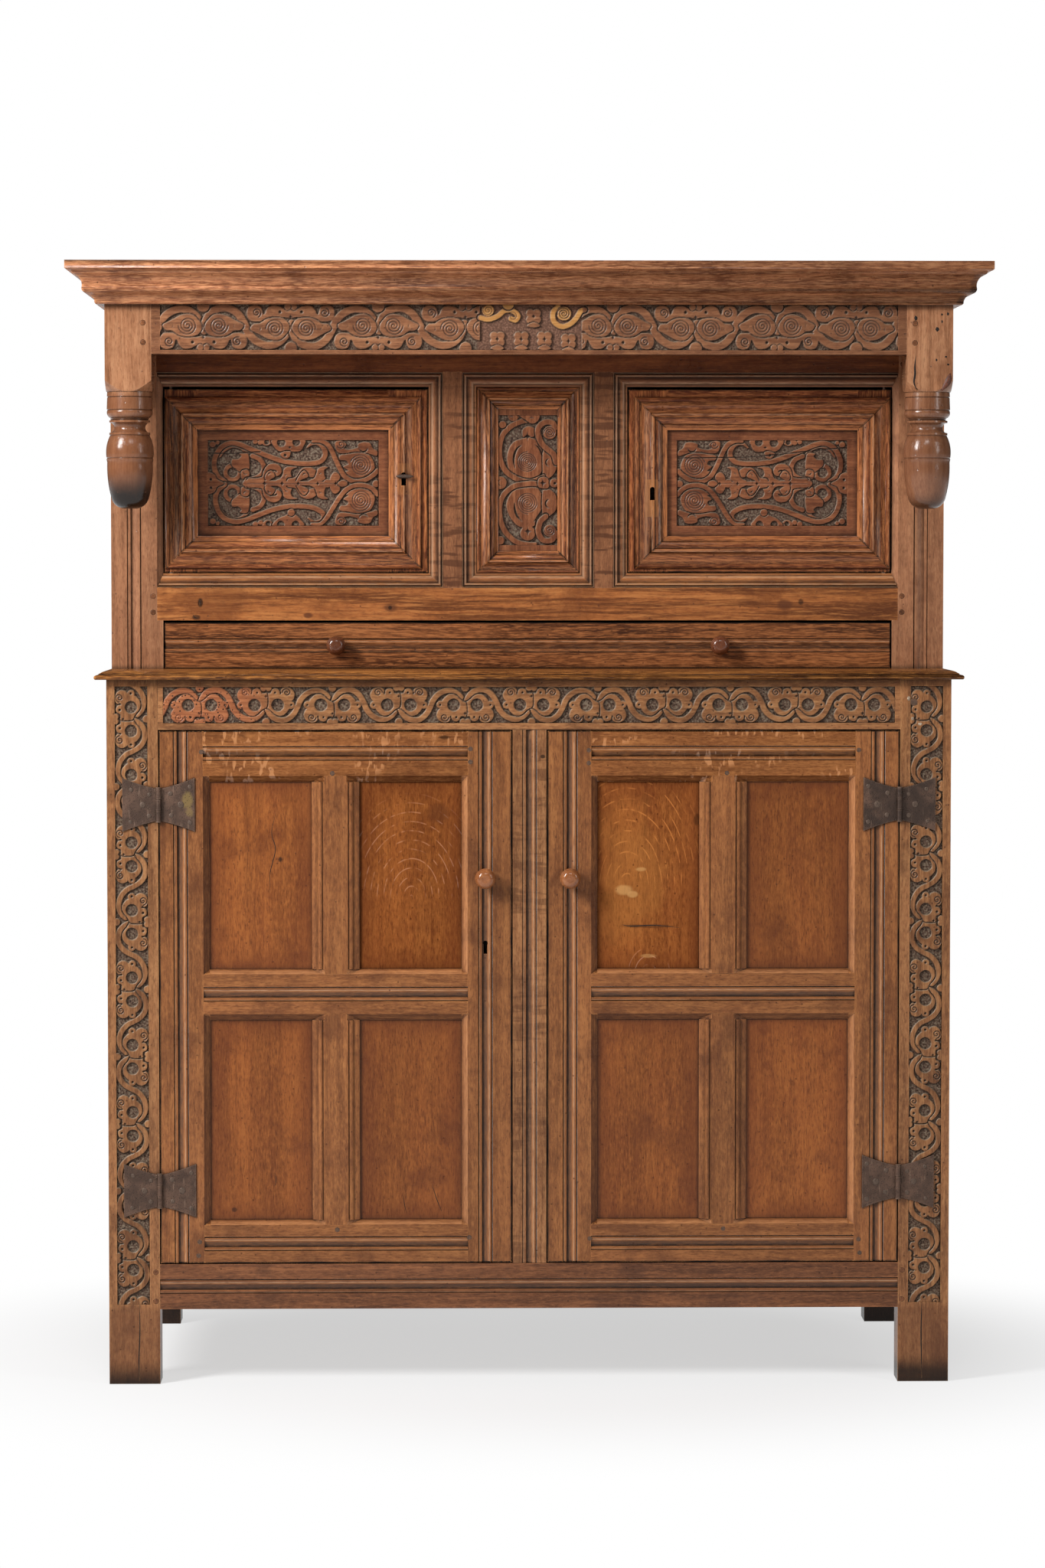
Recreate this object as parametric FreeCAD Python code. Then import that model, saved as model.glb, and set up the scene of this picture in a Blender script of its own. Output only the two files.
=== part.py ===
"""Joined oak court cupboard in two stages, in millimetres.

X runs to the right, Y to the back and Z up. The origin is on the floor, under the middle of the whole piece.
Every board, rail, stile and fitting is a solid of its own. Tenons, tongues and pegs are cut from the same
sizes as the mortises, grooves and holes that hold them.
"""
import FreeCAD
import Part
import math
import os
from FreeCAD import Vector

# Whole case
case_width = 1240.0  # across the outer faces of the stiles
case_depth = 555.0  # front of the lower stiles to the back of the rear stiles
door_gap = 1.6  # round the doors
slide_gap = 0.5  # under the drawer and beside moving iron
overrun = 6.0  # how far a cutting shape passes the face that it cuts

# Joints
tenon_length = 42.0
short_tenon_length = 36.0  # where a side rail's tenon crosses behind
tenon_thickness = 10.0
tenon_shoulder = 9.0  # wood left above and below a tenon, more than a tongue
tongue = 7.0  # how far a panel or board reaches into its groove
peg_radius = 4.0
peg_gap = 0.1
peg_proud = 0.4
peg_inset = 12.0  # from a joint line to its pegs

# Lower stage
lower_height = 1040.0
lower_stile_width = 75.0
lower_stile_thickness = 50.0
foot_height = 111.0  # floor to the underside of the bottom rail
lower_bottom_rail_height = 67.0
lower_frieze_height = 74.0
lower_rail_thickness = 35.0
centre_muntin_width = 50.0
stop_lip = 10.0  # how far the centre muntin reaches behind each door
frieze_lip = 8.0  # how far the frieze rail hangs down behind the doors

# Rear stiles and the back
rear_stile_width = 75.0
rear_stile_thickness = 50.0
back_rail_thickness = 26.0
back_rail_height = 70.0
back_board_thickness = 12.0
back_board_count = 5

# Sides
side_rail_thickness = 28.0
side_rail_height = 66.0
side_muntin_width = 62.0
side_panel_thickness = 9.0
side_panel_setback = 10.0  # panel face behind the rail face
side_middle_share = 0.54  # height of the middle rail on the lower side

# Floors
floor_thickness = 12.0
floor_below_rail = 6.0  # floor top under the top of the rail that carries it
floor_board_count = 5

# Ledge between the stages
ledge_thickness = 13.0
ledge_overhang = 17.0
ledge_mould_inside = 25.0  # moulding strip inside the face of the stiles

# Upper stage, set back under the canopy
recess = 110.0
upper_stile_width = 77.0
upper_stile_thickness = 44.0
splay_width = 9.0  # bevel on the stile beside an upper door
drawer_opening_height = 72.0
upper_rail_flat = 48.0  # plain part of the rail over the drawer
surround_width = 22.0  # moulded edges round the upper openings
surround_depth = 8.0
upper_opening_height = 277.0
upper_top_rail_flat = 72.0
upper_rail_thickness = 30.0
upper_muntin_flat = 27.0
centre_opening_width = 154.0
upper_stop_lip = 8.0
upper_stop_thickness = 8.0

# Centre panel of the upper stage
centre_panel_setback = 12.0
centre_panel_thickness = 12.0
centre_moulding_width = 33.0
centre_moulding_height = 11.0

# Canopy
canopy_rise = 462.0  # top of the ledge to the underside of the canopy rails
post_width = 68.0
post_block_height = 54.0  # plain block of the post under the canopy rails
canopy_rail_thickness = 30.0
pendant_radius = 34.4
pendant_length = 171.0
lamb_tongue = 16.0  # bevel that ends the block over the pendant
soffit_thickness = 10.0
soffit_rise = 8.0

# Cornice and top
cornice_height = 61.0
cornice_overhang = 53.5
top_board_thickness = 16.0
top_board_count = 3

# Carved fields, sunk into rails, stiles and panels
carving_depth = 3.6
lower_field_end = 8.0
lower_field_top = 11.0
lower_field_bottom = 10.0
stile_field_outer = 12.0
stile_field_inner = 15.0
stile_field_top = 10.0
stile_field_foot = 118.0
canopy_field_end = 13.0
canopy_field_bottom = 6.0
canopy_field_height = 66.0
centre_field_margin = 9.0

# Mouldings run along the middle of rails and stiles
run_mould_width = 21.5
run_mould_depth = 3.6

# Lower doors
door_thickness = 24.0
door_stile_width = 73.3
door_top_rail_height = 75.0
door_middle_rail_height = 75.0
door_bottom_rail_height = 63.0
lower_panel_share = 0.5175  # of the height that both rows of panels have
door_muntin_width = 70.0
door_muntin_mould = 18.7
door_muntin_sink = 7.0
panel_bevel = 9.2
panel_bevel_depth = 8.0
panel_bottom_bevel = 7.0
door_panel_thickness = 8.0
door_panel_setback = 10.0
hinge_mould_from_edge = 31.0
left_meeting_mould_from_edge = 38.5
right_meeting_mould_from_edge = 33.0
door_tenon_thickness = 8.0

# Knobs
knob_radius = 14.2
knob_seat_gap = 0.2
knob_length = 31.0
knob_shank_radius = 5.0
knob_over_keyhole = 96.0
drawer_knob_radius = 13.4
drawer_knob_length = 28.0
drawer_knob_spacing = 572.0

# Butterfly hinges of the lower doors
hinge_leaf_length = 53.0
hinge_leaf_thickness = 2.0
hinge_end_height = 79.0
hinge_waist_height = 48.0
hinge_hollow = 0.94  # how far the curved edges bend in
knuckle_radius = 4.0
knuckle_flat = 5.0  # straight edge of a leaf beside the pin
hinge_pin_radius = 2.0
hinge_pin_gap = 0.08
knuckle_gap = 0.4
pin_head_height = 1.5
hinge_from_top = 108.0  # from the top of a door to the middle of its upper hinge
left_hinge_from_bottom = 107.5
right_hinge_from_bottom = 118.5

# Upper doors
upper_door_thickness = 20.0
upper_door_top_gap = 4.0
door_moulding_width = 49.0
door_moulding_height = 10.0
hinge_margin = 1.0
lock_margin = 9.0
top_margin = 11.0
bottom_margin = 5.0
upper_panel_thickness = 10.0
upper_panel_setback = 4.0
upper_field_width = 254.0
upper_field_height = 127.0
pivot_inset = 10.0  # from the hinge edge of the door to the pin
pivot_depth = 4.0  # from the face of the door frame to the pin
pivot_radius = 2.5
pivot_gap = 0.08
pivot_reach = 10.0  # pin inside the door
pivot_root = 12.0  # pin inside the rail
pivot_collar_radius = 4.0
pivot_collar_gap = 0.3

# Locks
lock_wall = 1.5
lock_depth = 22.0
lock_height = 64.0
lower_lock_width = 60.0
upper_lock_width = 45.0
bolt_height = 14.0
bolt_thickness = 4.0
bolt_inset = 1.0  # bolt end inside the lock's edge when drawn back
bolt_tail = 4.0
lock_edge_gap = 4.0  # from a lock to the lip that its bolt passes behind
keyhole_radius = 3.6
lower_keyhole_slot = 5.4  # width
upper_keyhole_slot = 7.0
keyhole_slot_length = 16.0
lower_keyhole_rise = 38.5  # over the middle rail of the door
left_keyhole_drop = -7.9  # under the middle of an upper door
right_keyhole_drop = 13.7
upper_keyhole_inset = 35.5

# Drawer
drawer_top_gap = 3.5
drawer_side_gap = 2.0
drawer_front_thickness = 22.0
drawer_side_thickness = 12.0
drawer_side_height = 50.0
drawer_bottom_thickness = 7.0
drawer_back_space = 8.0
guide_width = 20.0
guide_height = 20.0

# Outlines as shares of a width and a depth. A pair is a corner. Four values are an arc: its middle, its end.
run_mould_shares = (
    (0.0, -0.4), (0.0, 0.0), (0.04, 0.5), (0.08, 0.12), (0.25, 0.2), (0.29, 1.0), (0.4, 1.0),
    (0.55, 0.72, 0.74, 0.2), (0.9, 0.12), (0.96, 0.6), (1.0, 0.0), (1.0, -0.4),
)
surround_shares = (
    (0.0, 0.0), (0.07, 0.0), (0.09, 0.3), (0.14, 0.3), (0.25, 0.02, 0.36, 0.3), (0.38, 0.52),
    (0.46, 0.52), (0.72, 0.6, 0.86, 0.93), (1.0, 1.0),
)
splay_shares = ((0.0, 0.0), (1.0, 1.0))
door_moulding_shares = (
    (0.0, 0.12), (0.03, 0.36, 0.08, 0.42), (0.13, 0.38), (0.15, 0.22), (0.2, 0.22),
    (0.37, 0.42, 0.5, 0.84), (0.52, 1.0), (0.6, 1.0), (0.62, 0.8), (0.74, 0.7, 0.82, 0.42),
    (0.84, 0.26), (0.94, 0.22), (1.0, 0.08),
)
cornice_shares = (
    (0.0, 0.0), (1.0, 0.0), (1.0, 0.19), (0.96, 0.22), (0.84, 0.25), (0.81, 0.3), (0.63, 0.4, 0.575, 0.63),
    (0.55, 0.71, 0.46, 0.75), (0.36, 0.79), (0.28, 0.86, 0.25, 0.97), (0.22, 1.0), (0.0, 1.0),
)
ledge_shares = (
    (0.0, 0.0), (0.3, 0.12), (0.62, 0.36), (0.62, 0.5), (0.84, 0.5), (1.0, 0.72, 0.9, 1.0),
)
door_muntin_shares = (
    (0.0, 0.0), (0.1, 0.0), (0.13, 0.3), (0.3, 0.1, 0.5, 0.38), (0.54, 0.62), (0.8, 0.72, 1.0, 1.0),
)
# Turned work: radius and drop as shares of the largest radius and the length
pendant_shares = (
    (0.96, 0.0), (0.97, 0.04), (0.93, 0.045), (0.96, 0.05), (0.98, 0.15), (0.94, 0.155), (0.96, 0.16),
    (0.95, 0.2, 0.82, 0.225), (0.78, 0.24), (0.87, 0.245), (0.87, 0.262), (0.66, 0.31, 0.87, 0.35),
    (0.87, 0.368), (0.84, 0.372), (0.98, 0.45, 1.0, 0.56), (0.97, 0.567), (1.0, 0.575), (0.97, 0.6),
    (0.95, 0.74, 0.8, 0.905), (0.58, 0.975, 0.25, 1.0), (0.0, 1.0),
)
knob_shares = (
    (0.62, 0.0), (0.62, 0.08), (0.5, 0.14), (0.46, 0.26, 0.6, 0.36), (1.0, 0.44, 0.97, 0.66),
    (0.78, 0.93, 0.3, 1.0), (0.0, 1.0),
)

# Places worked out from the sizes
half_width = case_width / 2
ledge_top = lower_height + ledge_thickness
canopy_low = ledge_top + canopy_rise
total_height = canopy_low + canopy_field_bottom + canopy_field_height + cornice_height
total_depth = case_depth + cornice_overhang
front_y = cornice_overhang - total_depth / 2
back_y = total_depth / 2
frame_top = total_height - top_board_thickness
cornice_foot = total_height - cornice_height
upper_y = front_y + recess
stile_inner_x = half_width - lower_stile_width
rail_low = foot_height
rail_high = foot_height + lower_bottom_rail_height
frieze_low = lower_height - lower_frieze_height
rear_y = back_y - rear_stile_thickness
board_y = back_y - back_board_thickness
back_rail_y = board_y - back_rail_thickness
rear_inner_x = half_width - rear_stile_width
upper_inner_x = half_width - upper_stile_width
drawer_top = ledge_top + drawer_opening_height
upper_flat_top = drawer_top + upper_rail_flat
opening_low = upper_flat_top + surround_width
opening_high = opening_low + upper_opening_height
top_rail_flat_low = opening_high + surround_width
top_rail_top = top_rail_flat_low + upper_top_rail_flat
muntin_outer_x = centre_opening_width / 2 + 2 * surround_width + upper_muntin_flat
post_inner_x = half_width - post_width
post_back_y = front_y + post_width
hinge_x = stile_inner_x - door_gap / 2
hinge_y = front_y - knuckle_radius
lower_door_low = rail_high + door_gap
lower_door_high = frieze_low - door_gap
door_rail_heights = door_bottom_rail_height + door_middle_rail_height + door_top_rail_height
panel_heights = lower_door_high - lower_door_low - door_rail_heights
middle_rail_low = lower_door_low + door_bottom_rail_height + panel_heights * lower_panel_share
lower_keyhole_height = middle_rail_low + door_middle_rail_height + lower_keyhole_rise
knob_height = lower_keyhole_height + knob_over_keyhole
upper_door_middle = (opening_low + opening_high) / 2


def block(x0, x1, y0, y1, z0, z1):
    """A box between two corners."""
    return Part.makeBox(x1 - x0, y1 - y0, z1 - z0, Vector(x0, y0, z0))


def mirrored(shape):
    """The same shape on the other side of the case."""
    return shape.mirror(Vector(0, 0, 0), Vector(1, 0, 0))


def both_sides(shapes):
    """The shapes of the left side and their mirror images."""
    return list(shapes) + [mirrored(shape) for shape in shapes]


def less(shape, cutters):
    """The shape with every cutter taken out of it."""
    cutters = list(cutters)
    return shape.cut(cutters) if cutters else shape


def outline(shares, place):
    """A closed wire through corners and arcs. place turns a pair of shares into a point."""
    edges = []
    here = place(*shares[0][:2])
    for share in shares[1:]:
        there = place(*share[-2:])
        if len(share) == 4:
            edges.append(Part.Arc(here, place(*share[:2]), there).toShape())
        elif (there - here).Length > 0:
            edges.append(Part.LineSegment(here, there).toShape())
        here = there
    edges.append(Part.LineSegment(here, place(*shares[0][:2])).toShape())
    return Part.Wire(edges)


def prism(shares, place, run):
    """An outline pushed along the vector run."""
    return Part.Face(outline(shares, place)).extrude(run)


def turned(shares, radius, length, foot, axis):
    """A turned piece on the line from foot along axis, whose outline is given in shares."""
    side = Vector(1, 0, 0)
    ring = ((0.0, 0.0),) + tuple(shares)
    face = Part.Face(outline(ring, lambda r, d: foot + side * (r * radius) + axis * (d * length)))
    return face.revolve(foot, axis, 360)


def frame_side(side, outer, inner, shares, face, relief, back):
    """One mitred side of a moulded frame between two rectangles (x0, x1, z0, z1).

    The outline runs from the outer edge to the inner one. relief scales its second value.
    """
    ox0, ox1, oz0, oz1 = outer
    ix0, ix1, iz0, iz1 = inner
    start = {"left": ox0, "right": ox1, "bottom": oz0, "top": oz1}[side]
    stop = {"left": ix0, "right": ix1, "bottom": iz0, "top": iz1}[side]
    corners = {
        "left": ((ox0, oz0), (ix0, iz0), (ix0, iz1), (ox0, oz1)),
        "right": ((ox1, oz0), (ix1, iz0), (ix1, iz1), (ox1, oz1)),
        "bottom": ((ox0, oz0), (ox1, oz0), (ix1, iz0), (ix0, iz0)),
        "top": ((ox0, oz1), (ox1, oz1), (ix1, iz1), (ix0, iz1)),
    }[side]
    upright = side in ("left", "right")
    solid_back = (back - face) / relief
    section = tuple(shares) + ((1.0, solid_back), (0.0, solid_back))

    def place(across, deep):
        at = start + (stop - start) * across
        y = face + deep * relief
        return Vector(at, y, oz0) if upright else Vector(ox0, y, at)

    run = Vector(0, 0, oz1 - oz0) if upright else Vector(ox1 - ox0, 0, 0)
    low = min(face, back) - abs(relief) - overrun
    high = max(face, back) + abs(relief) + overrun
    mitre = prism(corners, lambda x, z: Vector(x, low, z), Vector(0, high - low, 0))
    return prism(section, place, run).common(mitre)


def run_mould(along, centre, start, stop, face):
    """The cutter for a moulding run along the middle of a front member, upright or level."""
    first = centre - run_mould_width / 2

    def place(across, deep):
        at = first + across * run_mould_width
        y = face + deep * run_mould_depth
        return Vector(at, y, start) if along == "z" else Vector(start, y, at)

    run = Vector(0, 0, stop - start) if along == "z" else Vector(stop - start, 0, 0)
    return prism(run_mould_shares, place, run)


def tenons_x(x0, x1, y_face, thickness, z0, z1, size=tenon_thickness, length=tenon_length):
    """Tenons on both ends of a level rail of the front or back."""
    y0 = y_face + (thickness - size) / 2
    low = z0 + tenon_shoulder
    high = z1 - tenon_shoulder
    return [block(a, b, y0, y0 + size, low, high) for a, b in ((x0 - length, x0), (x1, x1 + length))]


def tenons_y(x_face, y0, y1, z0, z1):
    """Tenons on both ends of a side rail whose outer face is at x_face, on the left side."""
    x0 = x_face + (side_rail_thickness - tenon_thickness) / 2
    low = z0 + tenon_shoulder
    high = z1 - tenon_shoulder
    reach = tenon_length * 2 / 3
    x1 = x0 + tenon_thickness
    return [block(x0, x1, y0 - reach, y0, low, high), block(x0, x1, y1, y1 + reach, low, high)]


def tenons_z(x0, x1, y0, y1, z0, z1, length):
    """Tenons on both ends of an upright muntin."""
    return [block(x0, x1, y0, y1, z0 - length, z0), block(x0, x1, y0, y1, z1, z1 + length)]


def peg(x, z, face, length):
    """A turned-down oak peg, driven in from the front."""
    return Part.makeCylinder(peg_radius, length + peg_proud, Vector(x, face - peg_proud, z), Vector(0, 1, 0))


def peg_hole(x, z, face, length):
    """The hole that a peg fills."""
    radius = peg_radius + peg_gap
    return Part.makeCylinder(radius, length + overrun, Vector(x, face - overrun, z), Vector(0, 1, 0))


def field(x0, x1, z0, z1, face):
    """The sunk ground of a carved field."""
    return block(x0, x1, face - overrun, face + carving_depth, z0, z1)


def keyhole(x, z, y0, y1, slot_width):
    """A keyhole through everything between two planes: a round eye over a slot."""
    depth = y1 - y0
    eye = Part.makeCylinder(keyhole_radius, depth, Vector(x, y0, z), Vector(0, 1, 0))
    half = slot_width / 2
    return eye.fuse(block(x - half, x + half, y0, y1, z - keyhole_slot_length, z))


def lower_front():
    """Carved stiles, frieze rail, bottom rail and centre muntin of the lower stage, with their pegs."""
    face = front_y
    back = face + lower_rail_thickness
    x1 = stile_inner_x
    muntin_x = centre_muntin_width / 2
    frieze = block(-x1, x1, face, back, frieze_low, lower_height)
    lip_y = face + door_thickness + slide_gap
    frieze = frieze.fuse(block(-x1, x1, lip_y, back, frieze_low - frieze_lip, frieze_low))
    frieze_tenons = tenons_x(-x1, x1, face, lower_rail_thickness, frieze_low, lower_height)
    bottom = block(-x1, x1, face, back, rail_low, rail_high)
    bottom_tenons = tenons_x(-x1, x1, face, lower_rail_thickness, rail_low, rail_high)
    muntin = block(-muntin_x, muntin_x, face, back, rail_high, frieze_low)
    lip = block(-muntin_x - stop_lip, muntin_x + stop_lip, lip_y, back, rail_high, frieze_low - frieze_lip)
    tenon_x = muntin_x - tenon_shoulder
    muntin_reach = tenon_length / 2
    muntin_tenons = tenons_z(-tenon_x, tenon_x, face + tenon_thickness, face + 2 * tenon_thickness,
                             rail_high, frieze_low, muntin_reach)
    muntin = muntin.fuse([lip] + muntin_tenons)
    frieze = less(frieze, [muntin])
    bottom = less(bottom, muntin_tenons)
    frieze = frieze.fuse(frieze_tenons)
    bottom = bottom.fuse(bottom_tenons)
    frieze = less(frieze, [field(-x1 + lower_field_end, x1 - lower_field_end, frieze_low + lower_field_bottom,
                                 lower_height - lower_field_top, face)])
    bottom = less(bottom, [run_mould("x", (rail_low + rail_high) / 2, -x1, x1, face)])
    muntin = less(muntin, [run_mould("z", 0, rail_high, frieze_low, face)])
    floor_low = rail_high - floor_below_rail - floor_thickness
    groove = block(-x1, x1, back - tongue, back + overrun, floor_low, floor_low + floor_thickness)
    bottom = less(bottom, [groove])

    stile = block(-half_width, -x1, face, face + lower_stile_thickness, 0, lower_height)
    stile = less(stile, frieze_tenons + bottom_tenons)
    stile = less(stile, [field(-half_width + stile_field_outer, -x1 - stile_field_inner, stile_field_foot,
                               lower_height - stile_field_top, face)])
    places = [(-x1 - peg_inset / 2, z) for z in (rail_low + peg_inset, rail_high - peg_inset)]
    holes = [peg_hole(x, z, face, lower_rail_thickness) for x, z in places]
    pegs = both_sides([peg(x, z, face, lower_rail_thickness) for x, z in places])
    stile = less(stile, holes)
    bottom = less(bottom, both_sides(holes))
    return stile, frieze, bottom, muntin, pegs


def side_frame(front, levels):
    """Rails, muntins and panels of one bay of the left side, from front to the rear stile.

    levels gives each rail as (bottom, top), the lowest first.
    """
    x0 = -half_width
    x1 = x0 + side_rail_thickness
    middle = (front + rear_y) / 2
    half_muntin = side_muntin_width / 2
    rails = []
    muntins = []
    panels = []
    panel_x = x0 + side_panel_setback
    for bottom, top in levels:
        rail = block(x0, x1, front, rear_y, bottom, top)
        rails.append([rail, tenons_y(x0, front, rear_y, bottom, top)])
    for (_, bottom), (top, _) in zip(levels[:-1], levels[1:]):
        muntin = block(x0, x1, middle - half_muntin, middle + half_muntin, bottom, top)
        mid_x = x0 + (side_rail_thickness - tenon_thickness) / 2
        ends = [block(mid_x, mid_x + tenon_thickness, middle - half_muntin + tenon_shoulder,
                      middle + half_muntin - tenon_shoulder, z0, z1)
                for z0, z1 in ((bottom - tenon_length / 2, bottom), (top, top + tenon_length / 2))]
        muntins.append([muntin, ends])
        for y0, y1 in ((front, middle - half_muntin), (middle + half_muntin, rear_y)):
            panels.append(block(panel_x, panel_x + side_panel_thickness, y0 - tongue, y1 + tongue,
                                bottom - tongue, top + tongue))
    muntin_ends = [end for _, ends in muntins for end in ends]
    rail_solids = [less(rail, muntin_ends + panels).fuse(ends) for rail, ends in rails]
    muntin_solids = [less(muntin, panels).fuse(ends) for muntin, ends in muntins]
    rail_ends = [end for _, ends in rails for end in ends]
    return rail_solids, muntin_solids, panels, rail_ends


def back_frame(low, high, bottom_rail_top):
    """Two rails and the upright boards of the back of one stage."""
    x1 = rear_inner_x
    rails = []
    ends = []
    for z0, z1 in ((low, bottom_rail_top), (high - back_rail_height, high)):
        tenons = tenons_x(-x1, x1, back_rail_y, back_rail_thickness, z0, z1, length=short_tenon_length)
        rails.append(block(-x1, x1, back_rail_y, board_y, z0, z1).fuse(tenons))
        ends += tenons
    width = 2 * x1 / back_board_count
    boards = [block(-x1 + n * width, -x1 + (n + 1) * width, board_y, back_y, low, high)
              for n in range(back_board_count)]
    return rails, boards, ends


def floor(low, front, corners):
    """Floor boards laid from front to back between the side rails, notched round the stiles."""
    x1 = half_width - side_rail_thickness
    width = 2 * x1 / floor_board_count
    boards = []
    for n in range(floor_board_count):
        x0 = -x1 + n * width
        board = block(x0, x0 + width, front - tongue, board_y, low, low + floor_thickness)
        boards.append(less(board, corners))
    return boards


def upper_front():
    """The recessed front of the upper stage: stiles, rails, muntins, and the centre panel in its moulding."""
    face = upper_y
    back = face + upper_rail_thickness
    edge = upper_inner_x + splay_width
    half_centre = centre_opening_width / 2
    centre_inner = (-half_centre, half_centre, opening_low, opening_high)
    flat_x1 = -half_centre - surround_width
    flat_x0 = flat_x1 - upper_muntin_flat
    centre_outer = (flat_x1, -flat_x1, upper_flat_top, top_rail_flat_low)
    left_inner = (-upper_inner_x, -muntin_outer_x, opening_low, opening_high)
    left_outer = (-edge, -muntin_outer_x + surround_width, upper_flat_top, top_rail_flat_low)

    def moulded(side, outer, inner, shares=surround_shares):
        return frame_side(side, outer, inner, shares, face, surround_depth, back)

    rails = []
    rail_ends = []
    for side, z0, z1 in (("bottom", drawer_top, upper_flat_top), ("top", top_rail_flat_low, top_rail_top)):
        ends = tenons_x(-edge, edge, face, upper_rail_thickness, z0, z1, length=short_tenon_length)
        strips = both_sides([moulded(side, left_outer, left_inner)])
        strips.append(moulded(side, centre_outer, centre_inner))
        rails.append(block(-edge, edge, face, back, z0, z1).fuse(strips + ends))
        rail_ends += ends
    muntin = block(flat_x0, flat_x1, face, back, upper_flat_top, top_rail_flat_low)
    muntin_ends = tenons_z(flat_x0 + tenon_shoulder / 2, flat_x1 - tenon_shoulder / 2, face + tenon_thickness,
                           face + 2 * tenon_thickness, upper_flat_top, top_rail_flat_low, tenon_length / 2)
    lip_back = back + upper_stop_thickness
    lip = block(-muntin_outer_x - upper_stop_lip, -half_centre, back, lip_back, opening_low, opening_high)
    edges = [moulded("right", left_outer, left_inner), moulded("left", centre_outer, centre_inner)]
    muntin = muntin.fuse(edges + muntin_ends + [lip])
    panel_y = face + centre_panel_setback
    panel = block(-half_centre - tongue, half_centre + tongue, panel_y, panel_y + centre_panel_thickness,
                  opening_low - tongue, opening_high + tongue)
    muntin = less(muntin, [panel])
    rails = [less(rail, both_sides(muntin_ends) + [panel]) for rail in rails]
    inside = (-half_centre + centre_moulding_width, half_centre - centre_moulding_width,
              opening_low + centre_moulding_width, opening_high - centre_moulding_width)
    trim = [frame_side(side, centre_inner, inside, door_moulding_shares, panel_y, -centre_moulding_height,
                       panel_y) for side in ("left", "right", "bottom", "top")]
    panel = less(panel, [field(inside[0], inside[1], inside[2] + centre_field_margin,
                               inside[3] - centre_field_margin, panel_y)])

    stile = block(-half_width, -edge, face, face + upper_stile_thickness, ledge_top, frame_top)
    foot = block(-edge, -upper_inner_x, face, face + upper_stile_thickness, ledge_top, drawer_top)
    splay = frame_side("left", left_outer, left_inner, splay_shares, face, surround_depth, back)
    stile = stile.fuse([foot, splay])
    lap = block(-half_width, -half_width + side_rail_thickness, face, face + upper_stile_thickness,
                canopy_low, frame_top)
    mould_x = -(half_width + edge) / 2
    stile = less(stile, rail_ends + [lap, run_mould("z", mould_x, ledge_top, canopy_low, face)])
    floor_low = drawer_top + floor_below_rail
    rails[0] = less(rails[0], [block(-edge, edge, back - tongue, back + overrun, floor_low,
                                     floor_low + floor_thickness)])
    soffit_low = canopy_low + soffit_rise
    rails[1] = less(rails[1], [block(-edge, edge, face - overrun, face + tongue, soffit_low,
                                     soffit_low + soffit_thickness)])
    places = [(-edge - peg_inset / 2, z) for z in (drawer_top + peg_inset, upper_flat_top - peg_inset,
                                                   top_rail_flat_low + peg_inset)]
    holes = [peg_hole(x, z, face, upper_rail_thickness) for x, z in places]
    pegs = both_sides([peg(x, z, face, upper_rail_thickness) for x, z in places])
    stile = less(stile, holes)
    rails = [less(rail, both_sides(holes)) for rail in rails]
    return stile, rails, muntin, panel, trim, pegs


def canopy(side_rail_ends):
    """Corner posts with turned pendants, the carved frieze rail and the soffit board."""
    face = front_y
    block_foot = canopy_low - post_block_height
    x0 = -half_width
    post = block(x0, x0 + post_width, face, face + post_width, block_foot, frame_top)
    middle = Vector(x0 + post_width / 2, face + post_width / 2, block_foot)
    # A cone that widens upwards rounds the lower corners of the block into the turning
    corner = post_width / 2 * math.sqrt(2)
    rounding = Part.makeCone(pendant_radius, corner, lamb_tongue, middle, Vector(0, 0, 1))
    shoulder = block(x0, x0 + post_width, face, face + post_width, block_foot, block_foot + lamb_tongue)
    post = less(post, [shoulder.cut(rounding)])
    post = post.fuse(turned(pendant_shares, pendant_radius, pendant_length, middle, Vector(0, 0, -1)))
    x1 = post_inner_x
    rail_back = face + canopy_rail_thickness
    rail = block(-x1, x1, face, rail_back, canopy_low, frame_top)
    ends = tenons_x(-x1, x1, face, canopy_rail_thickness, canopy_low, frame_top)
    soffit_low = canopy_low + soffit_rise
    soffit_high = soffit_low + soffit_thickness
    inner = half_width - side_rail_thickness
    soffit = block(-inner, inner, rail_back, upper_y, soffit_low, soffit_high)
    corner = block(x0, x0 + post_width, face, face + post_width, soffit_low, soffit_high)
    soffit = less(soffit, both_sides([corner]))
    front_tongue = block(-x1, x1, rail_back - tongue, rail_back, soffit_low, soffit_high)
    edge = upper_inner_x + splay_width
    back_tongue = block(-edge, edge, upper_y, upper_y + tongue, soffit_low, soffit_high)
    soffit = soffit.fuse([front_tongue, back_tongue])
    rail = less(rail.fuse(ends), [soffit, field(-x1 + canopy_field_end, x1 - canopy_field_end,
                                                canopy_low + canopy_field_bottom, cornice_foot, face)])
    post = less(post, ends + side_rail_ends)
    places = [(-x1 - peg_inset, z) for z in (canopy_low + post_width / 4, canopy_low + post_width * 2 / 3)]
    holes = [peg_hole(x, z, face, canopy_rail_thickness) for x, z in places]
    pegs = both_sides([peg(x, z, face, canopy_rail_thickness) for x, z in places])
    return less(post, holes), less(rail, both_sides(holes)), soffit, pegs


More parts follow.
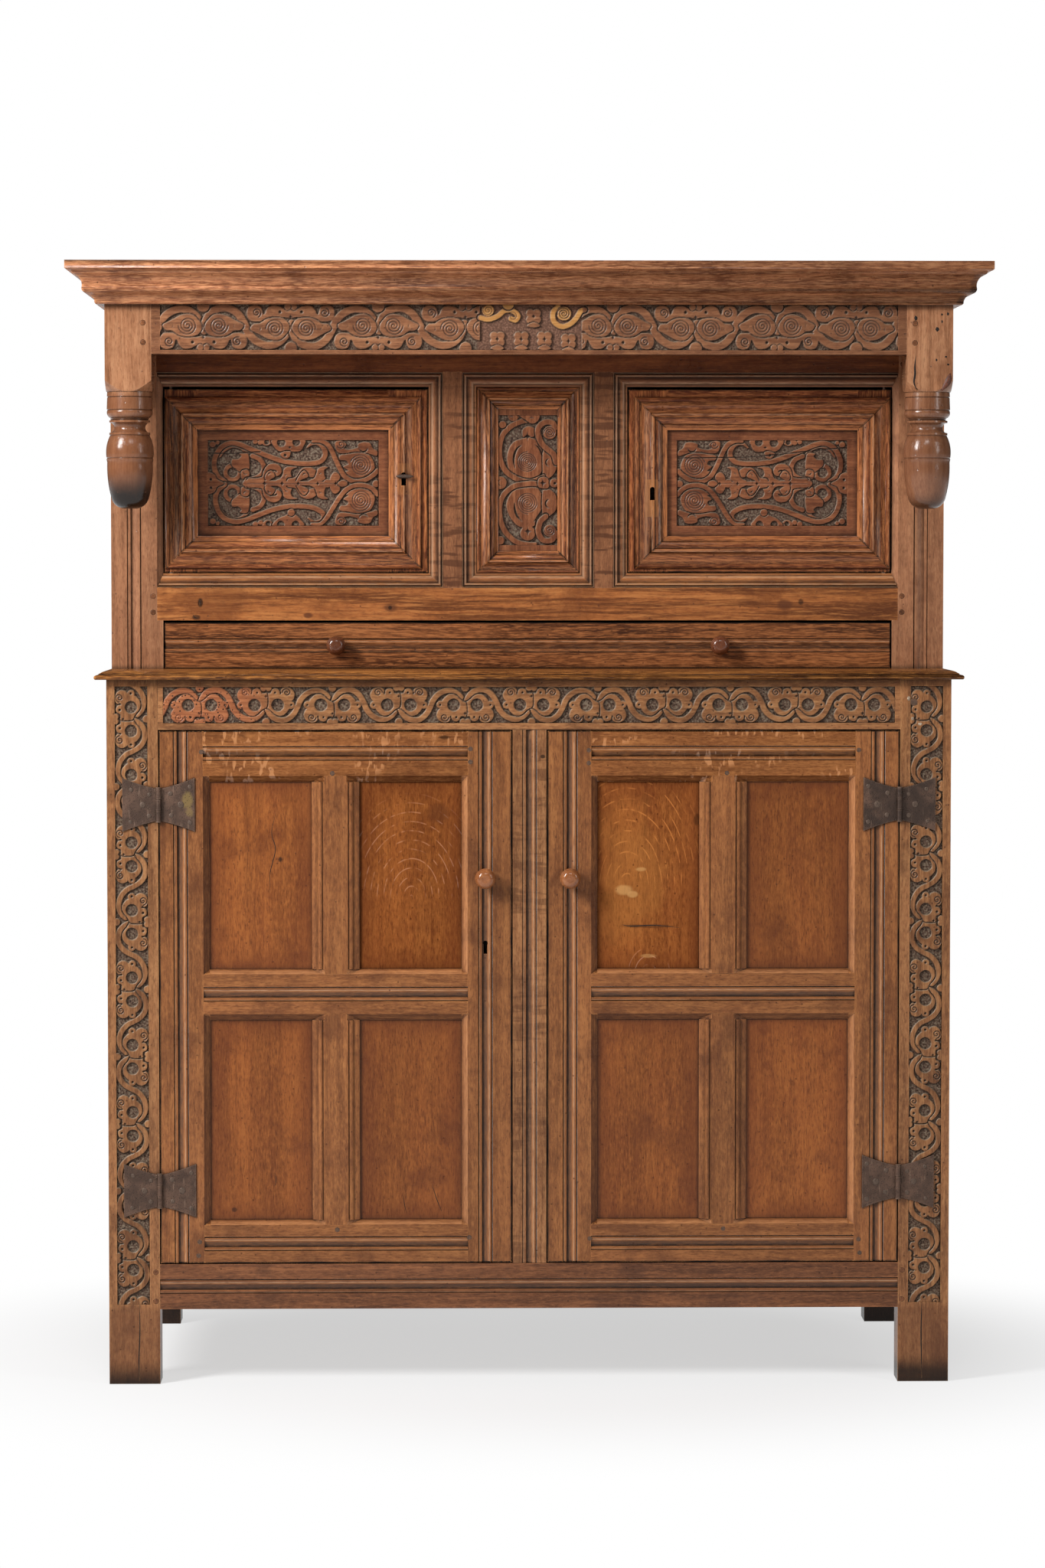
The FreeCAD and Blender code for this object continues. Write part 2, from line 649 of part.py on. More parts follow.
def edge_moulding(shares, inside, overhang, z_top, height):
    """Front and side strips of a moulding that goes round three sides, mitred at the front corners."""
    reach = inside + overhang

    def front_place(out, drop):
        return Vector(-half_width - overhang, front_y + inside - out * reach, z_top - drop * height)

    def side_place(out, drop):
        return Vector(-half_width + inside - out * reach, front_y - overhang, z_top - drop * height)

    front = prism(shares, front_place, Vector(2 * (half_width + overhang), 0, 0))
    side = prism(shares, side_place, Vector(0, back_y - front_y + overhang, 0))
    corner = (-half_width - overhang, front_y - overhang)
    bend = (-half_width + inside, front_y + inside)
    past = reach + overrun
    beyond = (bend[0] + past, bend[1] + past)
    before = (corner[0] - overrun, corner[1] - overrun)
    low = z_top - height - overrun
    rise = Vector(0, 0, height + 2 * overrun)
    front_half = prism((before, beyond, (beyond[0], before[1])), lambda x, y: Vector(x, y, low), rise)
    front_span = block(beyond[0], -beyond[0], before[1], beyond[1], low, z_top + overrun)
    front_half = front_half.fuse([front_span, mirrored(front_half)])
    front = front.common(front_half)
    side_half = prism((before, (before[0], back_y + overrun), (beyond[0], back_y + overrun), beyond),
                      lambda x, y: Vector(x, y, low), rise)
    return [front] + both_sides([side.common(side_half)])


def ledge():
    """Moulding strips and boards that top the lower stage."""
    inside_share = ledge_mould_inside / (ledge_mould_inside + ledge_overhang)

    def outward(share):
        return inside_share + (1 - inside_share) * share

    shares = [(0.0, 0.0)]
    for share in ledge_shares:
        pairs = zip(share[0::2], share[1::2])
        shares.append(tuple(value for out, drop in pairs for value in (outward(out), drop)))
    shares.append((0.0, 1.0))
    strips = edge_moulding(shares, ledge_mould_inside, ledge_overhang, ledge_top, ledge_thickness)
    x1 = half_width - ledge_mould_inside
    y0 = front_y + ledge_mould_inside
    middle = (y0 + back_y) / 2
    boards = [block(-x1, x1, y0, middle, lower_height, ledge_top),
              block(-x1, x1, middle, back_y, lower_height, ledge_top)]
    return strips, boards


def top():
    """Cornice strips nailed to the canopy frame, and the boards inside them."""
    strips = edge_moulding(cornice_shares, 0.0, cornice_overhang, total_height, cornice_height)
    depth = (back_y - front_y) / top_board_count
    boards = [block(-half_width, half_width, front_y + n * depth, front_y + (n + 1) * depth,
                    frame_top, total_height) for n in range(top_board_count)]
    return strips, boards


def knob(x, z, face, radius, length, through):
    """A turned knob in front of the plane face, with a shank through the wood."""
    head = turned(knob_shares, radius, length, Vector(x, face, z), Vector(0, -1, 0))
    return head.fuse(Part.makeCylinder(knob_shank_radius, through, Vector(x, face, z), Vector(0, 1, 0)))


def knob_seat(x, z, face, radius, depth):
    """The flat spot and hole in which a knob sits on a moulding."""
    spot = Part.makeCylinder(radius * knob_shares[0][0] + knob_seat_gap, overrun + run_mould_depth,
                             Vector(x, face - overrun, z), Vector(0, 1, 0))
    return spot, Part.makeCylinder(knob_shank_radius, depth, Vector(x, face, z), Vector(0, 1, 0))


def lower_door(meeting_mould_from_edge, with_lock):
    """The left lower door: stiles, rails, muntins, four panels, knob and, on one door, the lock.

    The door without the lock gets mirrored afterwards, and its upright mouldings here, so that they run the
    same way on both doors.
    """
    face = front_y
    back = face + door_thickness
    x0 = -stile_inner_x + door_gap
    x1 = -centre_muntin_width / 2 - door_gap
    z0 = lower_door_low
    z1 = lower_door_high
    in0 = x0 + door_stile_width
    in1 = x1 - door_stile_width
    levels = ((z0, z0 + door_bottom_rail_height),
              (middle_rail_low, middle_rail_low + door_middle_rail_height),
              (z1 - door_top_rail_height, z1))
    mid = (in0 + in1) / 2
    half = door_muntin_width / 2
    tenon_y = face + (door_thickness - door_tenon_thickness) / 2
    panel_y = face + door_panel_setback

    def upright_mould(centre):
        mould = run_mould("z", centre, z0, z1, face)
        return mould if with_lock else mould.mirror(Vector(centre, 0, 0), Vector(1, 0, 0))

    stile_cuts = []
    rails = []
    muntins = []
    muntin_cores = []
    muntin_ends = []
    panels = []
    bevels = []
    for low, high in levels:
        # The flat part of a rail runs on to the shoulders, beside the bevels of the stiles
        left = in0 - panel_bevel
        right = in1 + panel_bevel
        flat_low = low if low == z0 else low + panel_bevel
        flat_high = high if high == z1 else high - panel_bottom_bevel
        flat = block(left, right, face, back, flat_low, flat_high)
        ends = tenons_x(left, right, face, door_thickness, low, high, door_tenon_thickness)
        stile_cuts += ends + [flat]
        mould = run_mould("x", (flat_low + flat_high) / 2, left, right, face)
        rails.append([block(in0, in1, face, back, low, high).fuse(flat), ends, mould])
    for (_, low), (high, _) in zip(levels[:-1], levels[1:]):
        ends = tenons_z(mid - half + door_muntin_mould, mid + half - door_muntin_mould, tenon_y,
                        tenon_y + door_tenon_thickness, low, high, tenon_length / 2)
        muntin_ends += ends
        core = block(mid - half + door_muntin_mould, mid + half - door_muntin_mould, face, back,
                     low - panel_bottom_bevel, high + panel_bevel)
        muntin_cores.append(core)

        def edge_place(across, deep, base=low):
            return Vector(mid - half + door_muntin_mould * (1 - across), face + deep * door_muntin_sink, base)

        deepest = door_thickness / door_muntin_sink
        section = tuple(door_muntin_shares) + ((1.0, deepest), (0.0, deepest))
        edge = prism(section, edge_place, Vector(0, 0, high - low))
        other = edge.mirror(Vector(mid, 0, 0), Vector(1, 0, 0))
        muntins.append([core.fuse([edge, other]), ends])
        bays = ((in0, mid - half, panel_bevel, door_muntin_mould),
                (mid + half, in1, door_muntin_mould, panel_bevel))
        for a, b, a_bevel, b_bevel in bays:
            panels.append(block(a - tongue, b + tongue, panel_y, panel_y + door_panel_thickness,
                                low - tongue, high + tongue))
            corners = ((a, low), (b, low), (b, high), (a, high))
            wide = ((a - a_bevel, low - panel_bottom_bevel), (b + b_bevel, low - panel_bottom_bevel),
                    (b + b_bevel, high + panel_bevel), (a - a_bevel, high + panel_bevel))
            wires = [outline(points, lambda x, z, y=y: Vector(x, y, z))
                     for points, y in ((wide, face), (corners, face + panel_bevel_depth))]
            bevels.append(Part.makeLoft(wires, True, True))
    cuts = muntin_ends + muntin_cores + panels + bevels
    rail_solids = [less(rail, cuts + [mould]).fuse(ends) for rail, ends, mould in rails]
    muntin_solids = [less(muntin, panels).fuse(ends) for muntin, ends in muntins]
    knob_x = x1 - meeting_mould_from_edge
    knob_face = face + run_mould_depth
    through = door_thickness - run_mould_depth
    turned_knob = knob(knob_x, knob_height, knob_face, knob_radius, knob_length, through)
    seat = knob_seat(knob_x, knob_height, knob_face, knob_radius, through)
    hinge_stile = less(block(x0, in0, face, back, z0, z1), stile_cuts + panels + bevels
                       + [upright_mould(x0 + hinge_mould_from_edge)])
    meeting_stile = less(block(in1, x1, face, back, z0, z1), stile_cuts + panels + bevels
                         + [upright_mould(knob_x)] + list(seat))
    door = {"stiles": [hinge_stile, meeting_stile], "rails": rail_solids, "muntins": muntin_solids,
            "panels": panels, "knob": [turned_knob]}
    if with_lock:
        key_x = knob_x
        hole = keyhole(key_x, lower_keyhole_height, face - overrun, back + overrun, lower_keyhole_slot)
        door["stiles"][1] = less(meeting_stile, [hole])
        lip_x = -centre_muntin_width / 2 - stop_lip
        bolt_y = front_y + lower_rail_thickness + slide_gap
        case, bolt = lock(key_x, lip_x - lock_edge_gap, lower_lock_width, lower_keyhole_height, back, bolt_y,
                          lower_keyhole_slot)
        door["lock_case"] = [case]
        door["lock_bolt"] = [bolt]
    return door


def lock(key_x, edge_x, width, z, back, bolt_y, slot_width):
    """An iron box lock on the back of a door, and the bolt that slides out of its edge towards the middle."""
    x0 = edge_x - width
    z0 = z - lock_height / 2
    z1 = z + lock_height / 2
    y1 = back + lock_depth
    case = block(x0, edge_x, back, y1, z0, z1)
    case = less(case, [block(x0 + lock_wall, edge_x - lock_wall, back + lock_wall, y1 - lock_wall,
                             z0 + lock_wall, z1 - lock_wall)])
    bolt_low = z + keyhole_radius + slide_gap
    slot = block(edge_x - lock_wall - overrun, edge_x + overrun, bolt_y, bolt_y + bolt_thickness + slide_gap,
                 bolt_low - slide_gap / 2, bolt_low + bolt_height + slide_gap / 2)
    case = less(case, [slot, keyhole(key_x, z, back - overrun, back + lock_wall + slide_gap,
                                    slot_width)])
    bolt = block(x0 + lock_wall + bolt_tail, edge_x - bolt_inset, bolt_y + slide_gap / 2,
                 bolt_y + slide_gap / 2 + bolt_thickness, bolt_low, bolt_low + bolt_height)
    return case, bolt


def butterfly_hinge(z):
    """One hinge on the left side: the stile's leaf with the middle knuckle, the door's leaf, and the pin."""
    axis = Vector(hinge_x * -1, hinge_y, z)
    waist = hinge_waist_height / 2
    third = hinge_waist_height / 3
    leaf_y = front_y - hinge_leaf_thickness

    def leaf(side):
        flat = knuckle_flat / hinge_leaf_length
        flare = hinge_end_height / hinge_waist_height
        upper = ((0.0, 1.0), (flat, 1.0), (0.5, (1 + flare) / 2 * hinge_hollow, 1.0, flare))
        lower = ((1.0, -flare), (0.5, -(1 + flare) / 2 * hinge_hollow, flat, -1.0), (0.0, -1.0))
        reach = hinge_leaf_length * side
        return prism(upper + lower, lambda x, y: Vector(axis.x + x * reach, leaf_y, z + y * waist),
                     Vector(0, hinge_leaf_thickness, 0))

    def barrel(z0, z1, radius):
        return Part.makeCylinder(radius, z1 - z0, Vector(axis.x, axis.y, z0), Vector(0, 0, 1))

    # The notch round a knuckle of the other leaf keeps clear of it while the door turns
    room = knuckle_radius + knuckle_gap
    levels = (z - waist, z - waist + third, z + waist - third, z + waist)
    spans = tuple(zip(levels[:-1], levels[1:]))
    leaves = {"stile": leaf(-1), "door": leaf(1)}
    for number, (z0, z1) in enumerate(spans):
        mine, theirs = ("stile", "door") if number == 1 else ("door", "stile")
        low = z0 + (knuckle_gap / 2 if number else 0.0)
        high = z1 - (knuckle_gap / 2 if number < 2 else 0.0)
        notch_low = z0 - (knuckle_gap / 2 if number else overrun)
        notch_high = z1 + (knuckle_gap / 2 if number < 2 else overrun)
        notch = block(axis.x - room, axis.x + room, leaf_y - overrun, front_y + overrun,
                      notch_low, notch_high)
        leaves[theirs] = less(leaves[theirs], [notch])
        leaves[mine] = leaves[mine].fuse(barrel(low, high, knuckle_radius))
    hole = barrel(z - waist - overrun, z + waist + overrun, hinge_pin_radius + hinge_pin_gap)
    leaves = {name: less(shape, [hole]) for name, shape in leaves.items()}
    head = barrel(z + waist + slide_gap / 2, z + waist + slide_gap / 2 + pin_head_height, knuckle_radius)
    foot = barrel(z - waist - slide_gap / 2 - pin_head_height, z - waist - slide_gap / 2, knuckle_radius)
    pin = barrel(z - waist - slide_gap / 2, z + waist + slide_gap / 2, hinge_pin_radius).fuse([head, foot])
    return leaves["stile"], leaves["door"], pin


def upper_door(key_z):
    """The left upper door: a joined frame, its mitred moulding, the carved panel, the lock and the pins."""
    face = upper_y + surround_depth
    back = face + upper_door_thickness
    x0 = -upper_inner_x + door_gap
    x1 = -muntin_outer_x - door_gap
    z0 = opening_low + door_gap
    z1 = opening_high - upper_door_top_gap
    outer = (x0 + hinge_margin, x1 - lock_margin, z0 + bottom_margin, z1 - top_margin)
    wide = door_moulding_width
    inner = (outer[0] + wide, outer[1] - wide, outer[2] + wide, outer[3] - wide)
    panel_y = face + upper_panel_setback
    panel = block(inner[0] - tongue, inner[1] + tongue, panel_y, panel_y + upper_panel_thickness,
                  inner[2] - tongue, inner[3] + tongue)
    rails = []
    ends = []
    for low, high in ((z0, inner[2]), (inner[3], z1)):
        tenons = tenons_x(inner[0], inner[1], face, upper_door_thickness, low, high, door_tenon_thickness,
                          tenon_length * 2 / 3)
        ends += tenons
        rails.append(less(block(inner[0], inner[1], face, back, low, high), [panel]).fuse(tenons))
    pin_x = x0 + pivot_inset
    pin_y = face + pivot_depth
    sockets = []
    pins = []
    for rail_z, door_z, way in ((opening_low, z0, 1), (opening_high, z1, -1)):
        up = Vector(0, 0, way)
        length = pivot_root + abs(door_z - rail_z) + pivot_reach
        foot = Vector(pin_x, pin_y, rail_z - way * pivot_root)
        pin = Part.makeCylinder(pivot_radius, length, foot, up)
        if way > 0:
            collar = abs(door_z - rail_z) - pivot_collar_gap
            pin = pin.fuse(Part.makeCylinder(pivot_collar_radius, collar, Vector(pin_x, pin_y, rail_z), up))
        pins.append(pin)
        sockets.append(Part.makeCylinder(pivot_radius + pivot_gap, length + slide_gap, foot, up))
    stiles = [less(block(x0, inner[0], face, back, z0, z1), ends + [panel] + sockets),
              less(block(inner[1], x1, face, back, z0, z1), ends + [panel])]
    trim = [frame_side(side, outer, inner, door_moulding_shares, face, -door_moulding_height, face)
            for side in ("left", "right", "bottom", "top")]
    key_x = x1 - upper_keyhole_inset
    hole = keyhole(key_x, key_z, face - door_moulding_height - overrun, back + overrun, upper_keyhole_slot)
    stiles[1] = less(stiles[1], [hole])
    trim[1] = less(trim[1], [hole])
    field_x = (inner[0] + inner[1] - upper_field_width) / 2
    field_z = (inner[2] + inner[3] - upper_field_height) / 2
    panel = less(panel, [field(field_x, field_x + upper_field_width, field_z,
                               field_z + upper_field_height, panel_y)])
    bolt_y = upper_y + upper_rail_thickness + upper_stop_thickness + slide_gap
    lip_x = -muntin_outer_x - upper_stop_lip
    case, bolt = lock(key_x, lip_x - lock_edge_gap, upper_lock_width, key_z, back, bolt_y,
                      upper_keyhole_slot)
    door = {"frame": stiles + rails, "mouldings": trim, "panel": [panel]}
    door.update({"lock_case": [case], "lock_bolt": [bolt]})
    return door, pins


def drawer():
    """The long shallow drawer over the ledge, and the guides beside it."""
    face = upper_y
    x1 = upper_inner_x - drawer_side_gap
    z0 = ledge_top + slide_gap
    z1 = drawer_top - drawer_top_gap
    y0 = face + drawer_front_thickness
    y1 = back_rail_y - drawer_back_space
    middle = (z0 + z1) / 2
    front = less(block(-x1, x1, face, y0, z0, z1), [run_mould("x", middle, -x1, x1, face)])
    knob_face = face + run_mould_depth
    knobs = []
    for x in (-drawer_knob_spacing / 2, drawer_knob_spacing / 2):
        through = drawer_front_thickness - run_mould_depth
        turned_knob = knob(x, middle, knob_face, drawer_knob_radius, drawer_knob_length, through)
        front = less(front, knob_seat(x, middle, knob_face, drawer_knob_radius, through))
        knobs.append(turned_knob)
    low = z0 + drawer_bottom_thickness
    side_x = x1 - drawer_side_gap
    side = block(-side_x, -side_x + drawer_side_thickness, y0, y1, low, low + drawer_side_height)
    inner_x = side_x - drawer_side_thickness
    back = block(-inner_x, inner_x, y1 - drawer_side_thickness, y1, low, low + drawer_side_height)
    bottom = block(-side_x, side_x, y0, y1, z0, low)
    guide = block(-upper_inner_x - guide_width, -upper_inner_x, upper_y + upper_stile_thickness, rear_y,
                  ledge_top, ledge_top + guide_height)
    return front, both_sides([side]) + [back], bottom, knobs, both_sides([guide])


def build():
    """Every node of the cupboard, as a name and its solids."""
    nodes = {}
    lower_stile, frieze, bottom_rail, centre_muntin, pegs = lower_front()
    stile_back = front_y + lower_stile_thickness
    middle = rail_low + (lower_height - rail_low) * side_middle_share
    lower_levels = ((rail_low, rail_low + side_rail_height), (middle, middle + side_rail_height),
                    (lower_height - side_rail_height, lower_height))
    lower_rails, lower_muntins, lower_panels, lower_ends = side_frame(stile_back, lower_levels)

    upper_stile, upper_rails, upper_muntin, centre_panel, centre_trim, upper_pegs = upper_front()
    upper_back = upper_y + upper_stile_thickness
    upper_levels = ((ledge_top, ledge_top + side_rail_height), (canopy_low, frame_top))
    upper_side, upper_muntins, upper_panels, upper_ends = side_frame(upper_back, upper_levels)
    # The top side rail runs on past the recessed stile to the corner post
    reach_inner = -half_width + side_rail_thickness
    reach = block(-half_width, reach_inner, post_back_y, upper_back, canopy_low, frame_top)
    post_tenon = tenons_y(-half_width, post_back_y, rear_y, canopy_low, frame_top)[0]
    upper_side[1] = upper_side[1].fuse([less(reach, upper_panels), post_tenon])

    lower_floor = rail_high - floor_below_rail - floor_thickness
    upper_floor = drawer_top + floor_below_rail
    lower_back_rails, lower_back_boards, lower_back_ends = back_frame(rail_low, lower_height, lower_floor)
    upper_back_rails, upper_back_boards, upper_back_ends = back_frame(ledge_top, frame_top, upper_floor)
    lower_rear = block(-half_width, -rear_inner_x, rear_y, back_y, 0, lower_height)
    upper_rear = block(-half_width, -rear_inner_x, rear_y, back_y, ledge_top, frame_top)
    lower_rear = less(lower_rear, lower_ends + lower_back_ends + lower_panels)
    upper_rear = less(upper_rear, upper_ends + upper_back_ends + upper_panels)
    lower_stile = less(lower_stile, lower_ends + lower_panels)
    upper_stile = less(upper_stile, [upper_ends[0]] + upper_panels)

    post, canopy_rail, soffit, canopy_pegs = canopy([post_tenon])
    ledge_strips, ledge_boards = ledge()
    cornice, top_boards = top()
    drawer_front, drawer_sides, drawer_bottom, drawer_knobs, guides = drawer()

    nodes["lower_left_front_stile"] = [lower_stile]
    nodes["lower_right_front_stile"] = [mirrored(lower_stile)]
    nodes["rear_stiles"] = both_sides([lower_rear, upper_rear])
    nodes["lower_frieze_rail"] = [frieze]
    nodes["lower_bottom_rail"] = [bottom_rail]
    nodes["lower_centre_muntin"] = [centre_muntin]
    nodes["side_rails"] = both_sides(lower_rails + upper_side)
    nodes["side_muntins"] = both_sides(lower_muntins + upper_muntins)
    nodes["side_panels"] = both_sides(lower_panels + upper_panels)
    nodes["back_rails"] = lower_back_rails + upper_back_rails
    nodes["back_boards"] = lower_back_boards + upper_back_boards
    lower_corners = both_sides([block(-half_width, -stile_inner_x, front_y, stile_back, 0, lower_height),
                                block(-half_width, -rear_inner_x, rear_y, back_y, 0, lower_height)])
    upper_edge = -upper_inner_x - splay_width
    upper_corners = both_sides([block(-half_width, upper_edge, upper_y, upper_back, ledge_top, frame_top),
                                block(-half_width, -rear_inner_x, rear_y, back_y, ledge_top, frame_top)])
    nodes["lower_floor_boards"] = floor(lower_floor, front_y + lower_rail_thickness, lower_corners)
    nodes["upper_floor_boards"] = floor(upper_floor, upper_y + upper_rail_thickness, upper_corners)
    nodes["ledge_mouldings"] = ledge_strips
    nodes["ledge_boards"] = ledge_boards
    nodes["upper_front_stiles"] = both_sides([upper_stile])
    nodes["upper_bottom_rail"] = [upper_rails[0]]
    nodes["upper_top_rail"] = [upper_rails[1]]
    nodes["upper_muntins"] = both_sides([upper_muntin])
    nodes["centre_panel"] = [centre_panel]
    nodes["centre_panel_mouldings"] = centre_trim
    nodes["canopy_left_post"] = [post]
    nodes["canopy_right_post"] = [mirrored(post)]
    nodes["canopy_frieze_rail"] = [canopy_rail]
    nodes["canopy_soffit_board"] = [soffit]
    nodes["cornice_mouldings"] = cornice
    nodes["top_boards"] = top_boards
    nodes["frame_pegs"] = pegs + upper_pegs + canopy_pegs
    nodes["drawer_guides"] = guides
    nodes["drawer_front"] = [drawer_front]
    nodes["drawer_sides_and_back"] = drawer_sides
    nodes["drawer_bottom"] = [drawer_bottom]
    nodes["drawer_knobs"] = drawer_knobs

    nodes["hinge_stile_leaves"] = []
    nodes["hinge_pins"] = []
    rail_pins = []
    sides = (("left", left_hinge_from_bottom, left_meeting_mould_from_edge, left_keyhole_drop),
             ("right", right_hinge_from_bottom, right_meeting_mould_from_edge, right_keyhole_drop))
    for side, hinge_from_bottom, mould_from_edge, keyhole_drop in sides:
        place = mirrored if side == "right" else (lambda shape: shape)
        hinge_heights = (lower_door_high - hinge_from_top, lower_door_low + hinge_from_bottom)
        hinges = [butterfly_hinge(z) for z in hinge_heights]
        nodes["hinge_stile_leaves"] += [place(stile_leaf) for stile_leaf, _, _ in hinges]
        nodes["hinge_pins"] += [place(pin) for _, _, pin in hinges]
        for name, solids in lower_door(mould_from_edge, side == "left").items():
            nodes[f"lower_{side}_door_{name}"] = [place(solid) for solid in solids]
        nodes[f"lower_{side}_door_hinge_leaves"] = [place(door_leaf) for _, door_leaf, _ in hinges]
        pieces, pivots = upper_door(upper_door_middle - keyhole_drop)
        for name, solids in pieces.items():
            nodes[f"upper_{side}_door_{name}"] = [place(solid) for solid in solids]
        rail_pins += [place(pivot) for pivot in pivots]
    nodes["hinge_pins"] += rail_pins
    for name in ("upper_bottom_rail", "upper_top_rail"):
        nodes[name] = [less(shape, rail_pins) for shape in nodes[name]]
    return nodes


os.makedirs("parts", exist_ok=True)
for node, solids in build().items():
    shape = Part.makeCompound([piece.removeSplitter() for piece in solids]) if len(solids) > 1 \
        else solids[0].removeSplitter()
    shape.exportStep(f"parts/{node}.step")
    state = "valid" if shape.isValid() else "NOT VALID"
    print(node, len(shape.Solids), "solids", round(shape.Volume / 1000, 1), "cm3", state)
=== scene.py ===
import math

import bmesh
import bpy
import numpy as np
from mathutils import Matrix, Vector


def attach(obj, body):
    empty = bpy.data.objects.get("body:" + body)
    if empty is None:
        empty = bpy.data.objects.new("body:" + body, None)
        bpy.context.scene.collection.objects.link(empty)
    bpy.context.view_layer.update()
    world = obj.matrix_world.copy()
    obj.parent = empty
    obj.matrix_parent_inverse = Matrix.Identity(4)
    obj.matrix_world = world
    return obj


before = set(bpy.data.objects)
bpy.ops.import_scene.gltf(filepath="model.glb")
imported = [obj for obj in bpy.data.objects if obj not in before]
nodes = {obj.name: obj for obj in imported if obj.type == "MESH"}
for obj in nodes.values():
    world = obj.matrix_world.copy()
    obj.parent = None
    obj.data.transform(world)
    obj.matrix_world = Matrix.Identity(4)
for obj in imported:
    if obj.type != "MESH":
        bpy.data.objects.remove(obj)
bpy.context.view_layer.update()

MM = 0.001
ALONG = {"x": 0, "y": 1, "z": 2}

# Planes and fields of the cupboard, in millimetres in the shared frame
FRONT = -250.75
UPPER = -140.75
DOOR_GROUND = -128.75
FRIEZE = {"x": 0.0, "z": 1002.5, "width": 1074.0, "height": 53.0}
STILE = {"x": 584.0, "z": 574.0, "width": 48.0, "height": 912.0}
CANOPY = {"x": 0.0, "z": 1554.0, "width": 1078.0, "height": 66.0}
CENTRE = {"x": 0.0, "z": 1333.5, "width": 88.0, "height": 193.0}
UPPER_DOOR = {"x": 350.5, "z": 1329.3, "width": 254.0, "height": 127.0}
PANEL_FACE = -240.7
UPPER_MOULD_FACE = -142.7
GROUND_DEPTH = 3.0
INLAY_DEPTH = 3.5


# Shader building

STILL = (0.0, 0.0, 0.0)


class Wire:
    """A shader socket that takes part in sums."""

    def __init__(self, finish, socket):
        self.finish = finish
        self.socket = socket

    def maths(self, operation, *others, swap=False):
        values = [self, *others]
        if swap:
            values.reverse()
        return self.finish.node("ShaderNodeMath", {"operation": operation}, dict(enumerate(values)))

    def __add__(self, other):
        return self.maths("ADD", other)

    def __sub__(self, other):
        return self.maths("SUBTRACT", other)

    def __mul__(self, other):
        return self.maths("MULTIPLY", other)

    def __rsub__(self, other):
        return self.maths("SUBTRACT", other, swap=True)

    __radd__ = __add__

    def least(self, other):
        return self.maths("MINIMUM", other)

    def fade(self, start, end):
        """Goes smoothly from 0 at start to 1 at end."""
        return self.finish.node("ShaderNodeMapRange", {"interpolation_type": "SMOOTHSTEP"},
                                {0: self, 1: start, 2: end})


